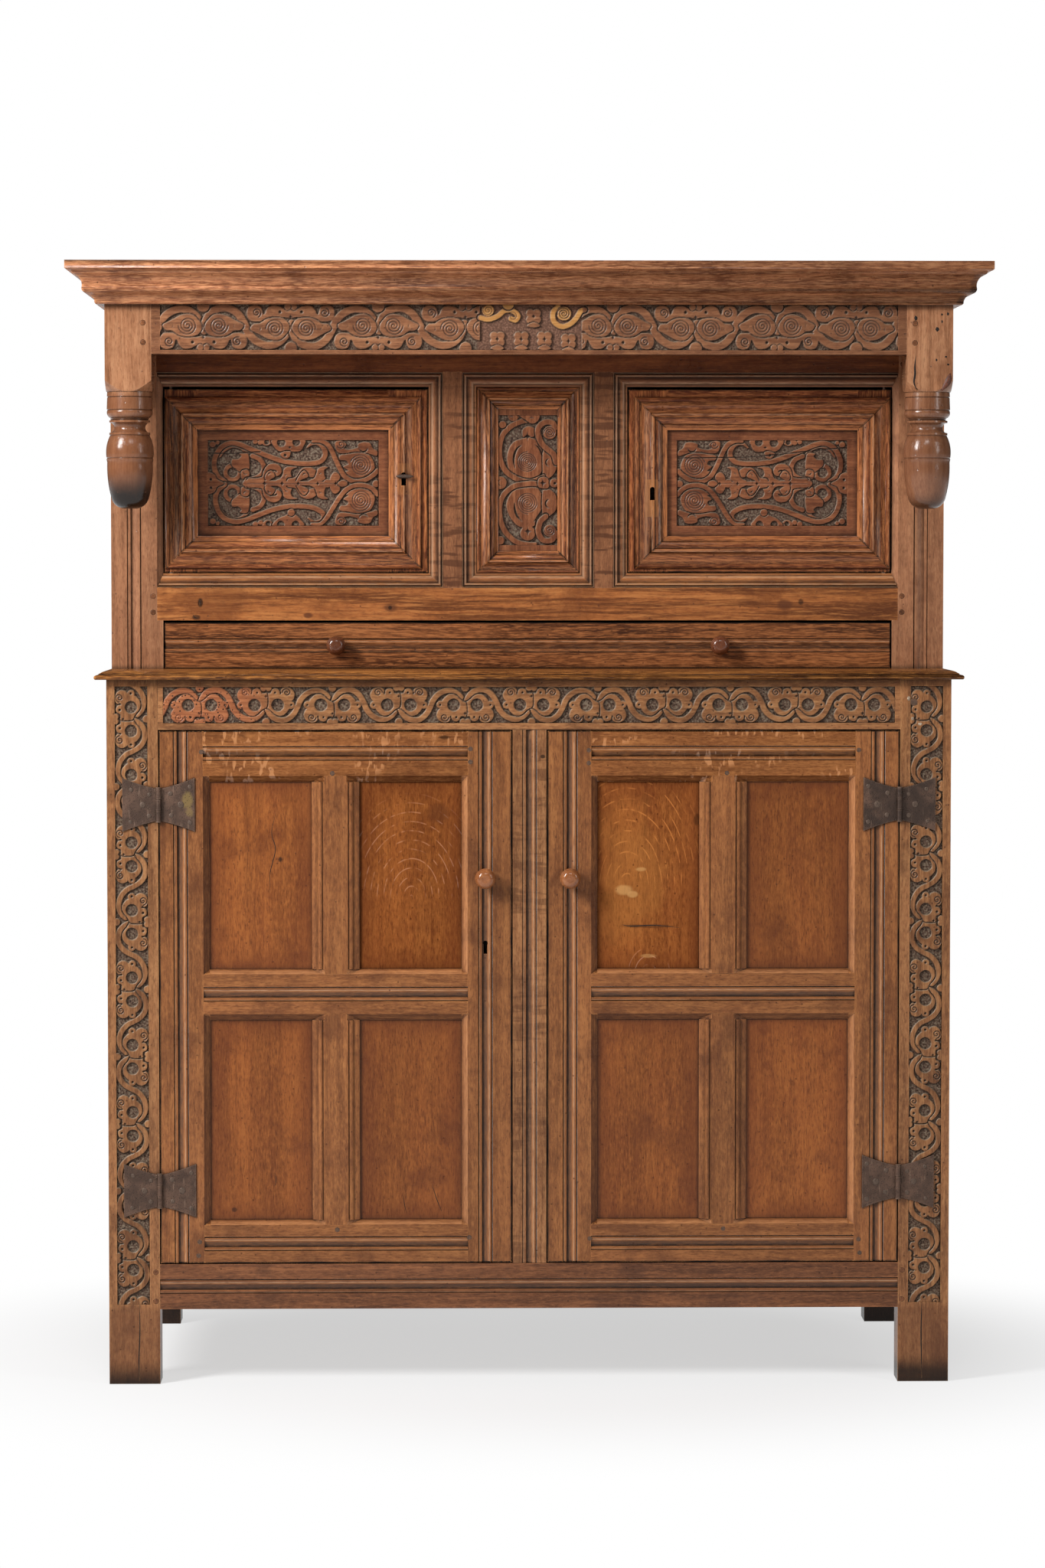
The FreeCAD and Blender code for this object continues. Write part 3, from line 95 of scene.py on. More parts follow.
class Finish:
    """A material that is laid out by expressions on its wires, and whose colour grows in layers."""

    def __init__(self, name):
        self.material = bpy.data.materials.new(name)
        self.material.use_nodes = True
        self.tree = self.material.node_tree
        self.tree.nodes.clear()
        self.place = self.node("ShaderNodeTexCoord", output="Object")
        apart = self.node("ShaderNodeSeparateXYZ", values={0: self.place}).socket.node
        self.at = {axis: Wire(self, apart.outputs[number]) for axis, number in ALONG.items()}
        self.colour = None

    def node(self, kind, settings=None, values=None, output=0):
        """Adds a node with these settings, feeds its sockets, and gives one of its outputs."""
        made = self.tree.nodes.new(kind)
        for key, value in (settings or {}).items():
            setattr(made, key, value)
        for key, value in (values or {}).items():
            socket = made.inputs[key]
            if isinstance(value, Wire):
                self.tree.links.new(value.socket, socket)
            else:
                socket.default_value = value
        return Wire(self, made.outputs[output]) if len(made.outputs) else None

    def mix(self, amount, a, b):
        """Mixes two colours."""
        rgba = {6: a, 7: b}
        for key, colour in rgba.items():
            if not isinstance(colour, Wire):
                rgba[key] = (*colour, 1.0)
        return self.node("ShaderNodeMix", {"data_type": "RGBA"}, {0: amount, **rgba}, output=2)

    def lay(self, share, tint):
        """Lays a colour over what is there so far."""
        self.colour = self.mix(share, self.colour, tint)

    def lay_patterns(self, *layers):
        """Lays colours over where a pattern lies between two values; the second may be the lower one."""
        for pattern, start, end, amount, tint in layers:
            self.lay(pattern.fade(start, end) * amount, tint)

    def moved(self, scale, shift=STILL, turn=STILL, place=None):
        """The material's own place, or the given one, scaled, shifted and turned."""
        if isinstance(scale, float):
            scale = (scale, scale, scale)
        return self.node("ShaderNodeMapping", values={"Vector": place or self.place, "Location": shift,
                                                      "Rotation": turn, "Scale": scale})

    def noise(self, place, detail, roughness=0.5, colour=False):
        return self.node("ShaderNodeTexNoise", values={"Vector": place, "Scale": 1.0, "Detail": detail,
                                                       "Roughness": roughness}, output=1 if colour else 0)

    def cells(self, place):
        """Distance to the nearest of scattered points."""
        return self.node("ShaderNodeTexVoronoi", values={"Vector": place, "Scale": 1.0})

    def attribute(self, name):
        return self.node("ShaderNodeAttribute", {"attribute_name": name}, output="Fac")

    def length(self, vector):
        return self.node("ShaderNodeVectorMath", {"operation": "LENGTH"}, {0: vector}, "Value")

    def nearness(self, distance, inside=False):
        """1 in corners and gaps, 0 on open faces; with inside, 1 on sharp arrises."""
        return 1.0 - self.node("ShaderNodeAmbientOcclusion", {"samples": 3, "inside": inside},
                               {"Distance": distance}, output="AO")

    def ramp(self, share, stops):
        """Lays stops of a share, a colour and a strength along a moulding."""
        made = self.node("ShaderNodeValToRGB", values={0: share}).socket.node
        elements = made.color_ramp.elements
        for number, (place, colour, strength) in enumerate(stops):
            last = number == len(stops) - 1
            element = elements[0] if number == 0 else elements[-1] if last else elements.new(place)
            element.position = place
            element.color = (*colour, strength)
        return Wire(self, made.outputs[0]), Wire(self, made.outputs[1])

    def away(self, middle, size):
        """Distance from a place on the front, in millimetres, as a share of a size across and up."""
        (x, z), (wide, high) = middle, size
        scale = (1.0 / (wide * MM), 0.0, 1.0 / (high * MM))
        return self.length(self.moved(scale, (-x / wide, 0.0, -z / high)))

    def inward(self, box):
        """Distances in from the nearer upright edge and from the nearer level edge of a box, in metres."""
        left, right, foot, top = box
        x, z = self.at["x"], self.at["z"]
        return (x - left).least(right - x), (z - foot).least(top - z)

    def stain(self, uneven, middle, size, tint, amount):
        """Colours a round place with an uneven edge."""
        near = (self.away(middle, size) + (uneven - 0.5) * 1.6).fade(1.1, 0.5)
        self.lay(near * amount, tint)

    def patch(self, low, high, tint, amount):
        """Colours a box seen from the front, given in millimetres."""
        share = amount
        for axis, start, end in (("x", low[0], high[0]), ("z", low[1], high[1])):
            along = self.at[axis]
            share = along.maths("GREATER_THAN", start * MM) * along.maths("LESS_THAN", end * MM) * share
        self.lay(share, tint)

    def close(self, roughness, height, reach, metallic=0.0, specular=0.5):
        """Ends the material with its shader."""
        bump = self.node("ShaderNodeBump", values={"Height": height, "Strength": 1.0, "Distance": reach})
        shader = self.node("ShaderNodeBsdfPrincipled", values={
            "Base Color": self.colour, "Roughness": roughness, "Metallic": metallic, "Normal": bump,
            "Specular IOR Level": specular})
        self.node("ShaderNodeOutputMaterial", values={"Surface": shader})
        return self.material


def tone(colour, factor):
    return tuple(channel * factor for channel in colour)


# Colours of the wood: body, dark grain, light grain
TONES = {
    "carcase": ((0.285, 0.120, 0.048), (0.060, 0.022, 0.010), (0.50, 0.250, 0.105)),
    "base_rail": ((0.165, 0.062, 0.027), (0.045, 0.018, 0.010), (0.34, 0.135, 0.055)),
    "ledge": ((0.27, 0.096, 0.024), (0.045, 0.014, 0.006), (0.62, 0.250, 0.060)),
    "door": ((0.265, 0.098, 0.034), (0.072, 0.024, 0.010), (0.47, 0.195, 0.066)),
    "panel": ((0.248, 0.075, 0.019), (0.080, 0.021, 0.007), (0.41, 0.142, 0.036)),
    "drawer": ((0.240, 0.080, 0.026), (0.040, 0.012, 0.005), (0.47, 0.175, 0.060)),
    "upper_rail": ((0.33, 0.112, 0.033), (0.085, 0.025, 0.009), (0.49, 0.195, 0.060)),
    "upper_stile": ((0.33, 0.143, 0.070), (0.105, 0.043, 0.022), (0.50, 0.250, 0.128)),
    "upper_door": ((0.225, 0.064, 0.024), (0.045, 0.011, 0.006), (0.52, 0.185, 0.062)),
    "upper_panel": ((0.212, 0.072, 0.032), (0.060, 0.018, 0.009), (0.39, 0.157, 0.070)),
    "muntin": ((0.275, 0.110, 0.050), (0.070, 0.026, 0.013), (0.46, 0.205, 0.092)),
    "canopy": ((0.250, 0.103, 0.049), (0.070, 0.026, 0.014), (0.44, 0.205, 0.100)),
    "post": ((0.34, 0.150, 0.073), (0.12, 0.047, 0.022), (0.52, 0.265, 0.138)),
    "cornice": ((0.470, 0.180, 0.080), (0.090, 0.028, 0.013), (0.70, 0.330, 0.155)),
    # Darker than its wood: painted shadow of the canopy over the rail
    "top_rail": ((0.155, 0.046, 0.016), (0.040, 0.010, 0.004), (0.28, 0.095, 0.032)),
    "inner": ((0.30, 0.195, 0.115), (0.15, 0.088, 0.05), (0.43, 0.30, 0.185)),
    "side": ((0.235, 0.102, 0.047), (0.062, 0.025, 0.013), (0.42, 0.205, 0.096)),
    "knob": ((0.30, 0.105, 0.036), (0.12, 0.036, 0.013), (0.46, 0.190, 0.070)),
    "dark_knob": ((0.140, 0.045, 0.020), (0.060, 0.018, 0.009), (0.24, 0.085, 0.038)),
    "new_wood": ((0.40, 0.180, 0.052), (0.22, 0.09, 0.03), (0.54, 0.275, 0.090)),
}
# The dark of dirt, also laid as painted shade in corners, grooves, gaps and hollows
DIRT_AND_SHADE = (0.016, 0.009, 0.006)
# Painted shade in the hollows of mouldings, with some dirt
HOLLOW_SHADE = (0.085, 0.052, 0.037)
REDDISH = (0.150, 0.045, 0.018)
# Painted highlight on the rounds of mouldings
HIGHLIGHT = (0.56, 0.34, 0.20)
ORANGE = (0.50, 0.20, 0.075)
# Painted shade on bevels that face away from the lamp
BEVEL_SHADE = (0.050, 0.011, 0.003)
PALE = (0.72, 0.33, 0.145)
GROUND = (0.088, 0.052, 0.035)
DUST = (0.205, 0.158, 0.110)
# Pale dust, also laid as painted light on carved walls that face the lamp
PALE_DUST_AND_LIGHT = (0.400, 0.350, 0.260)
WORM_DARK = (0.28, 0.085, 0.036)
WORM_LIGHT = (0.48, 0.165, 0.070)


# Lines along a moulding, of painted highlights and painted shade with some dirt and wax: share across it,
# colour, strength
LINES = {
    # Painted shade on bevels facing right or down, and painted light on bevels facing left or up
    "shaded": ((0.0, BEVEL_SHADE, 0.0), (0.04, BEVEL_SHADE, 0.62), (0.55, BEVEL_SHADE, 0.40),
               (1.0, BEVEL_SHADE, 0.75)),
    "worn": ((0.0, DIRT_AND_SHADE, 0.0), (0.02, DIRT_AND_SHADE, 0.5), (0.08, PALE, 0.42), (0.55, PALE, 0.30),
             (0.92, REDDISH, 0.2), (1.0, DIRT_AND_SHADE, 0.9)),
    "run": ((0.0, DIRT_AND_SHADE, 0.0), (0.035, DIRT_AND_SHADE, 0.9), (0.09, HIGHLIGHT, 0.35), (0.16, REDDISH, 0.25),
            (0.24, ORANGE, 0.3), (0.28, DIRT_AND_SHADE, 0.85), (0.36, DIRT_AND_SHADE, 0.85), (0.43, HOLLOW_SHADE, 0.7),
            (0.60, HOLLOW_SHADE, 0.55), (0.70, ORANGE, 0.5), (0.77, HIGHLIGHT, 0.8), (0.83, REDDISH, 0.5),
            (0.90, ORANGE, 0.35), (0.945, DIRT_AND_SHADE, 0.85), (0.975, DIRT_AND_SHADE, 0.6), (1.0, HIGHLIGHT, 0.5),
            (1.03, HIGHLIGHT, 0.0)),
    "surround": ((0.0, DIRT_AND_SHADE, 0.0), (0.01, DIRT_AND_SHADE, 0.9), (0.04, DIRT_AND_SHADE, 0.9), (0.08, HIGHLIGHT, 0.8),
                 (0.15, DIRT_AND_SHADE, 0.6), (0.19, DIRT_AND_SHADE, 0.6), (0.26, HIGHLIGHT, 0.5), (0.34, DIRT_AND_SHADE, 0.75),
                 (0.39, DIRT_AND_SHADE, 0.5), (0.47, HOLLOW_SHADE, 0.4), (0.62, ORANGE, 0.2), (0.76, HIGHLIGHT, 0.65),
                 (0.86, DIRT_AND_SHADE, 0.6), (0.95, ORANGE, 0.35), (1.0, DIRT_AND_SHADE, 0.9)),
    "door": ((0.0, DIRT_AND_SHADE, 0.9), (0.06, ORANGE, 0.5), (0.12, REDDISH, 0.5), (0.17, DIRT_AND_SHADE, 0.9),
             (0.21, DIRT_AND_SHADE, 0.9), (0.27, REDDISH, 0.6), (0.36, HIGHLIGHT, 0.35), (0.42, HOLLOW_SHADE, 0.6),
             (0.49, DIRT_AND_SHADE, 0.7), (0.53, HIGHLIGHT, 0.6), (0.59, ORANGE, 0.4), (0.63, DIRT_AND_SHADE, 0.85),
             (0.70, REDDISH, 0.6), (0.79, HIGHLIGHT, 0.4), (0.83, DIRT_AND_SHADE, 0.8), (0.88, ORANGE, 0.45),
             (0.95, ORANGE, 0.3), (1.0, DIRT_AND_SHADE, 0.95)),
    "level": ((0.0, DIRT_AND_SHADE, 0.9), (0.05, REDDISH, 0.5), (0.13, REDDISH, 0.6), (0.17, DIRT_AND_SHADE, 0.85),
              (0.21, DIRT_AND_SHADE, 0.8), (0.26, ORANGE, 0.45), (0.33, REDDISH, 0.5), (0.40, ORANGE, 0.35),
              (0.49, DIRT_AND_SHADE, 0.8), (0.53, HIGHLIGHT, 0.45), (0.58, ORANGE, 0.4), (0.63, DIRT_AND_SHADE, 0.85),
              (0.70, REDDISH, 0.5), (0.79, ORANGE, 0.45), (0.83, DIRT_AND_SHADE, 0.8), (0.88, ORANGE, 0.4),
              (0.95, REDDISH, 0.3), (1.0, DIRT_AND_SHADE, 0.95)),
}


def oak(name, colours, along, seed, streak=0.5, speckle=0.35, gloss=0.30, shine=0.21, flecks=0.0, arcs=(),
        ripple=0.0, lines=(), dashes=0.0, mitre=None, vignette=None, rim=None, fades=(), boxes=(), stains=(),
        carved=False, worn_ground=(), let_in=False, worms=False):
    """Old waxed oak with its grain along one direction."""
    f = Finish(name)
    body, dark, light = colours
    shift = (seed * 1.7, seed * 2.3, seed * 3.1)
    bend = f.noise(f.moved(5.0, shift), 2.0, colour=True)
    bend = f.node("ShaderNodeVectorMath", {"operation": "SUBTRACT"}, {0: bend, 1: (0.5, 0.5, 0.5)})
    wavy = f.node("ShaderNodeVectorMath", {"operation": "MULTIPLY_ADD"},
                  {0: bend, 1: (0.014, 0.014, 0.014), 2: f.place})

    def grain(across, lengthwise, detail, roughness=0.5, turn=STILL, place=wavy):
        """Noise that is drawn out along the grain, and winds with it unless another place is given."""
        scale = [across] * 3
        scale[ALONG[along]] = lengthwise
        return f.noise(f.moved(scale, shift, turn, place), detail, roughness)

    broad = grain(20.0, 2.6, 3.0)
    rings = grain(105.0, 3.0, 5.0, 0.62)
    fine = grain(330.0, 16.0, 3.0, 0.6)
    pores = grain(560.0, 110.0, 3.0, 0.6)
    strokes = grain(620.0, 52.0, 2.0, 0.6)
    patch = grain(42.0, 9.0, 4.0, 0.6)
    mottle = grain(170.0, 90.0, 3.0, 0.65, (0.0, 0.4, 0.0), f.place)
    blotch = f.noise(f.moved(11.0, shift), 5.0, 0.62)
    f.colour = f.mix(broad.fade(0.38, 0.62), tone(body, 0.86), tone(body, 1.12))
    f.lay_patterns(
        (patch, 0.50, 0.34, 0.34, tone(dark, 2.0)),
        (patch, 0.53, 0.68, 0.25, light),
        (mottle, 0.49, 0.36, 0.34, tone(dark, 2.0)),
        (mottle, 0.53, 0.68, 0.26, light),
        (rings, 0.52, 0.36, streak, dark),
        (rings, 0.54, 0.68, streak, light),
        (fine, 0.54, 0.68, streak * 0.75, light),
        (fine, 0.47, 0.33, streak * 0.75, dark),
        (pores, 0.53, 0.68, speckle, dark),
        (pores, 0.47, 0.34, speckle * 0.55, light),
        (blotch, 0.47, 0.34, 0.5, tone(dark, 1.4)),
    )

    # Flecks and arcs of the rays, which are glossier than the wood between them
    if flecks:
        across = grain(60.0, 150.0, 1.0, turn=(0.25, 0.25, 0.25))
        groups = grain(30.0, 9.0, 1.0, place=f.place)
        shine = across.fade(0.55, 0.64) * groups.fade(0.48, 0.60) * flecks
        f.lay(shine, tone(light, 1.15))
    for middle, rise, reach, amount in arcs:
        radius = f.away(middle, (1000.0, 1000.0 / rise))
        winding = (radius * 640.0 + f.length(bend) * 5.0).maths("SINE")
        breaks = f.noise(f.moved(52.0, shift), 2.0)
        above = f.at["z"].fade((middle[1] - 6.0) * MM, (middle[1] + 12.0) * MM)
        near = radius.fade(reach * MM, reach * MM * 0.7)
        shine = winding.fade(0.84, 0.99) * breaks.fade(0.44, 0.58) * near * above
        f.lay(shine * amount, tone(light, 1.3))
    if ripple:
        waves = grain(16.0, 115.0, 2.0, turn=(0.0, 0.3, 0.0), place=f.place)
        where = f.noise(f.moved(7.0, shift), 1.0)
        f.lay(waves.fade(0.50, 0.60) * where.fade(0.30, 0.50) * ripple, tone(dark, 1.3))

    # Lines of painted highlight and shade along mouldings, painted shade and dirt at the edges of boards, and
    # marks
    for profile, axis, first, last in lines:
        share = (f.at[axis] - first * MM) * (1.0 / ((last - first) * MM))
        tint, strength = f.ramp(share, LINES[profile])
        f.lay(strength * (strokes.fade(0.36, 0.56) * 0.6 + 0.4), tint)
    if dashes:
        f.lay_patterns((strokes, 0.51, 0.62, dashes, tone(light, 1.1)),
                       (strokes, 0.48, 0.37, dashes, tone(dark, 1.2)))
    if mitre:
        run, rise = f.inward(mitre)
        f.lay((run - rise).maths("ABSOLUTE").fade(0.0030, 0.0010) * 0.9, DIRT_AND_SHADE)
    # Darker towards a panel's edges: painted shade and dirt
    if vignette:
        run, rise = f.inward(vignette)
        f.lay(run.least(rise).fade(0.045, 0.008) * (blotch * 0.7 + 0.15), tone(dark, 1.6))
    # A thin band of painted shade along the outer edges of doors and the drawer, beside their gaps
    if rim:
        run, rise = f.inward(rim)
        f.lay(run.least(rise).fade(0.0020, 0.0009), tone(DIRT_AND_SHADE, 0.5))
    for axis, first, last, tint, amount in fades:
        f.lay(f.at[axis].fade(first * MM, last * MM) * (blotch * 0.6 + 0.7) * amount, tint)
    for box in boxes:
        f.patch(*box)
    for stain in stains:
        f.stain(blotch, *stain)

    dents = f.cells(f.moved(60.0, shift)).fade(0.11, 0.04)
    f.lay(dents * 0.7, dark)
    height = fine * 0.5 + rings * 0.6 - pores.fade(0.53, 0.68) * 0.5 - dents * 2.0
    roughness = blotch * 0.20 + (gloss - 0.10)
    if carved:
        ground = f.attribute("ground")
        specks = f.noise(f.moved(350.0, shift), 1.5, 0.5)
        dusty = f.mix(blotch.fade(0.35, 0.65), DUST, tone(DUST, 0.72))
        dirty = f.mix(specks.fade(0.48, 0.66), GROUND, dusty)
        dirty = f.mix(specks.fade(0.44, 0.34), dirty, DIRT_AND_SHADE)
        for low, high, tint, amount in worn_ground:
            between = f.at["x"].fade((low - 4.0) * MM, (low + 4.0) * MM)
            between = between * f.at["x"].fade((high + 4.0) * MM, (high - 4.0) * MM)
            dirty = f.mix(between * amount, dirty, f.mix(specks.fade(0.45, 0.62), tint, tone(tint, 1.7)))
        if let_in:
            new_body, _, new_light = TONES["new_wood"]
            f.lay(f.attribute("fresh"), f.mix(fine.fade(0.35, 0.7), new_body, new_light))
        # Painted highlight along the figures' arrises
        f.lay(f.attribute("edge") * blotch.fade(0.30, 0.60) * 0.2, light)
        f.lay(ground * 0.95, dirty)
        # Painted shade at the walls' feet and in scored lines; dust with painted light on walls facing the
        # lamp, grime with painted shade on walls facing away
        for mark, amount, tint in (("foot", 0.66, DIRT_AND_SHADE), ("grime_and_shade", 0.92, DIRT_AND_SHADE), ("dust_and_light", 0.32, PALE_DUST_AND_LIGHT),
                                   ("cut", 0.85, DIRT_AND_SHADE)):
            f.lay(f.attribute(mark) * amount, tint)
        height = height + specks * 4.0 * ground
        roughness = roughness + ground * 0.35
    else:
        # Wear and painted highlight on the arrises
        arrises = f.nearness(0.003, inside=True)
        f.lay(arrises.fade(0.36, 0.62) * fine.fade(0.36, 0.58) * 0.7, tone(light, 1.15))
        # Painted shade, with dirt, in corners and gaps, from how near other surfaces are
        f.lay(f.nearness(0.008).fade(0.10, 0.58) * 0.93, DIRT_AND_SHADE)
    if worms:
        spots = f.cells(f.moved(190.0, shift)).fade(0.26, 0.16)
        where = f.at["x"].fade(-0.36, -0.43)
        f.lay(where * (1.0 - ground) * 0.75, f.mix(fine.fade(0.4, 0.7), WORM_DARK, WORM_LIGHT))
        # Worm holes painted dark: painted shade of the holes
        f.lay(spots * where, DIRT_AND_SHADE)
        height = height - spots * where * 3.0
    return f.close(roughness, height, 0.00012, specular=shine)


# Finding the boards inside a node

def boards(obj):
    """Groups a node's loose triangles into its separate solids."""
    mesh = obj.data
    places = np.empty(len(mesh.vertices) * 3)
    mesh.vertices.foreach_get("co", places)
    places = np.round(places.reshape(-1, 3), 6)
    corners = np.empty(len(mesh.loops), int)
    mesh.loops.foreach_get("vertex_index", corners)
    _, merged = np.unique(places, axis=0, return_inverse=True)
    triangles = merged.ravel()[corners].reshape(-1, 3)
    sides = np.concatenate([triangles[:, [0, 1]], triangles[:, [1, 2]], triangles[:, [2, 0]]])
    sides = np.sort(sides, axis=1)
    owner = np.tile(np.arange(len(triangles)), 3)
    _, which, count = np.unique(sides, axis=0, return_inverse=True, return_counts=True)
    which = which.ravel()
    order = np.argsort(which, kind="stable")
    order = order[count[which[order]] == 2]
    first, second = owner[order[0::2]], owner[order[1::2]]
    group = np.arange(len(triangles))
    while True:
        before = group.copy()
        low = np.minimum(group[first], group[second])
        np.minimum.at(group, first, low)
        np.minimum.at(group, second, low)
        group = group[group]
        if (group == before).all():
            break
    centres = places[corners].reshape(-1, 3, 3)
    found = []
    for label in np.unique(group):
        inside = group == label
        points = centres[inside].reshape(-1, 3)
        found.append((np.flatnonzero(inside), points.min(0), points.max(0)))
    return found


# How each kind of board differs from plain oak
MANNERS = {
    "panel": {"streak": 0.24, "speckle": 0.62},
    "door": {"streak": 0.30, "speckle": 0.46},
    "carcase": {"streak": 0.30, "speckle": 0.44},
    "base_rail": {"streak": 0.42, "speckle": 0.46},
    "ledge": {"streak": 0.80, "speckle": 0.15, "gloss": 0.27, "dashes": 0.4},
    "drawer": {"streak": 0.75, "speckle": 0.25, "dashes": 0.45},
    "upper_rail": {"streak": 0.80, "speckle": 0.34},
    "upper_stile": {"streak": 0.30, "speckle": 0.40},
    "upper_door": {"streak": 0.8, "speckle": 0.15, "gloss": 0.25, "dashes": 0.42},
    "upper_panel": {"streak": 0.36, "speckle": 0.34},
    "top_rail": {"streak": 0.5, "speckle": 0.3},
    "muntin": {"streak": 0.30, "speckle": 0.40, "ripple": 0.8},
    "canopy": {"streak": 0.34, "speckle": 0.34},
    "cornice": {"streak": 0.55, "speckle": 0.2, "gloss": 0.26, "dashes": 0.45},
    "post": {"streak": 0.46, "speckle": 0.38, "gloss": 0.17, "shine": 0.4},
    "knob": {"streak": 0.30, "speckle": 0.08, "gloss": 0.14, "shine": 0.5},
    "dark_knob": {"streak": 0.30, "speckle": 0.08, "gloss": 0.14, "shine": 0.5},
}
LIFTS = (0.93, 1.0, 1.08)
finishes = {}


def board_finish(kind, along, seed, **extra):
    """The finish of a kind of board, one of three that differ a little; boards may share it."""
    extra = {**MANNERS.get(kind, {}), **extra}
    key = (kind, along, seed, str(sorted(extra.items())))
    if key not in finishes:
        name = f"{kind}_oak_{along}_{len(finishes)}"
        colours = [tone(colour, LIFTS[seed]) for colour in TONES[kind]]
        finishes[key] = oak(name, colours, along, seed * 1.37 + len(kind) * 0.21, **extra)
    return finishes[key]


# Near-black of soot and old marks, also used as a painted shadow
SOOT_AND_SHADOW = (0.012, 0.007, 0.005)
TAN = (0.40, 0.165, 0.055)
RUST = (0.085, 0.020, 0.009)
STRAW = (0.66, 0.36, 0.13)
UMBER = (0.130, 0.046, 0.020)
SHADE = (0.085, 0.032, 0.016)

# Marks of single boards: node, then where the board's middle lies, then what it has.
# Stains are middle, size, colour and amount; fades are axis, start, end, colour and amount
MARKED_BOARDS = (
    ("lower_left_door_panels", (-370.0, 720.0), {"stains": (((-366.2, 775.2), (4.0, 5.0), SOOT_AND_SHADOW, 0.8),)}),
    ("lower_left_door_panels", (-175.0, 720.0), {
        "arcs": (((-174.0, 720.0), 0.72, 120.0, 0.45),),
        "stains": (((-134.0, 842.0), (17.0, 20.0), (0.10, 0.03, 0.012), 0.6),)}),
    ("lower_right_door_panels", (175.0, 720.0), {
        "arcs": (((144.1, 735.0), 0.62, 140.0, 0.7), ((176.0, 606.0), 0.8, 36.0, 0.7)),
        "stains": (((150.0, 750.0), (64.0, 110.0), (0.45, 0.180, 0.045), 0.28),
                   ((138.0, 730.0), (13.0, 8.0), STRAW, 0.5),
                   ((152.0, 723.0), (8.0, 5.0), STRAW, 0.5),
                   ((164.0, 760.0), (9.0, 3.5), STRAW, 0.45),
                   ((175.0, 632.0), (13.0, 3.5), (0.62, 0.33, 0.12), 0.4),
                   ((246.8, 833.0), (6.0, 10.0), SOOT_AND_SHADOW, 0.5),
                   ((180.0, 676.0), (48.0, 4.0), (0.09, 0.03, 0.012), 0.6))}),
    ("lower_left_door_panels", (-370.0, 400.0), {
        "stains": (((-435.3, 257.2), (5.0, 4.0), SOOT_AND_SHADOW, 0.6),
                   ((-443.9, 230.0), (7.0, 5.0), SOOT_AND_SHADOW, 0.6),
                   ((-422.4, 222.0), (5.0, 4.0), SOOT_AND_SHADOW, 0.5))}),
    ("upper_bottom_rail", (0.0, 1160.0), {
        "stains": (((-487.9, 1151.6), (3.5, 6.0), SOOT_AND_SHADOW, 0.85),
                   ((-205.6, 1143.8), (13.0, 9.0), (0.12, 0.04, 0.016), 0.8),
                   ((-205.6, 1143.8), (4.0, 4.0), SOOT_AND_SHADOW, 0.8),
                   ((-328.1, 1132.2), (8.0, 5.0), (0.10, 0.03, 0.014), 0.8),
                   ((-494.4, 1129.7), (6.0, 4.0), SOOT_AND_SHADOW, 0.7),
                   ((384.2, 1147.8), (14.0, 9.0), (0.11, 0.035, 0.015), 0.8),
                   ((407.1, 1152.3), (5.0, 6.0), SOOT_AND_SHADOW, 0.7))}),
    ("lower_left_door_rails", (-287.0, 945.0), {
        "flecks": 0.7, "stains": (((-125.5, 955.0), (10.0, 3.5), SOOT_AND_SHADOW, 0.7),)}),
    ("lower_right_door_rails", (287.0, 945.0), {"flecks": 0.7}),
    ("lower_centre_muntin", (0.0, 580.0), {
        "ripple": 0.45, "stains": (((19.4, 926.7), (4.0, 3.0), SOOT_AND_SHADOW, 0.8),)}),
    ("lower_left_front_stile", (-584.0, 520.0), {
        "fades": (("z", 118.0, 106.0, UMBER, 0.45), ("z", 40.0, 2.0, SOOT_AND_SHADOW, 0.85))}),
    ("lower_right_front_stile", (584.0, 520.0), {
        "fades": (("z", 118.0, 106.0, UMBER, 0.45), ("z", 44.0, 14.0, SOOT_AND_SHADOW, 0.9))}),
    ("rear_stiles", (-586.0, 523.0), {"fades": (("z", 190.0, 90.0, SOOT_AND_SHADOW, 0.9),)}),
    ("rear_stiles", (586.0, 523.0), {"fades": (("z", 190.0, 90.0, SOOT_AND_SHADOW, 0.9),)}),
    # Darker towards the right: painted shade, as the lamp is at the left
    ("canopy_frieze_rail", (0.0, 1540.0), {"fades": (("x", 60.0, 460.0, SHADE, 0.32),)}),
    ("upper_left_door_mouldings", (-350.0, 1437.0), {
        "boxes": (((-560.0, 1380.0), (-140.0, 1470.0), RUST, 0.06),)}),
    # Painted shadow of the left pendant on the door's outer moulding
    ("upper_left_door_mouldings", (-521.0, 1330.0), {"fades": (("x", -514.0, -528.0, SOOT_AND_SHADOW, 0.55),)}),
    ("upper_left_door_mouldings", (-180.0, 1330.0), {
        "boxes": (((-195.0, 1311.8), (-174.0, 1358.4), TAN, 0.3),)}),
    ("upper_right_door_mouldings", (350.0, 1437.0), {
        "boxes": (((140.0, 1380.0), (560.0, 1470.0), RUST, 0.06),)}),
    ("upper_right_door_mouldings", (180.0, 1330.0), {
        "boxes": (((174.7, 1278.9), (193.1, 1334.6), TAN, 0.5),)}),
    ("canopy_left_post", (-586.0, 1460.0), {
        "fades": (("z", 1466.0, 1450.0, (0.165, 0.058, 0.025), 0.7), ("z", 1352.0, 1306.0, SOOT_AND_SHADOW, 0.97))}),
    ("canopy_right_post", (586.0, 1460.0), {
        "fades": (("z", 1466.0, 1450.0, (0.150, 0.055, 0.026), 0.65), ("z", 1318.0, 1290.0, SOOT_AND_SHADOW, 0.7))}),
)
# How far, in millimetres, a board's middle may lie from the given one
NEAR_ACROSS, NEAR_UP = 60.0, 180.0

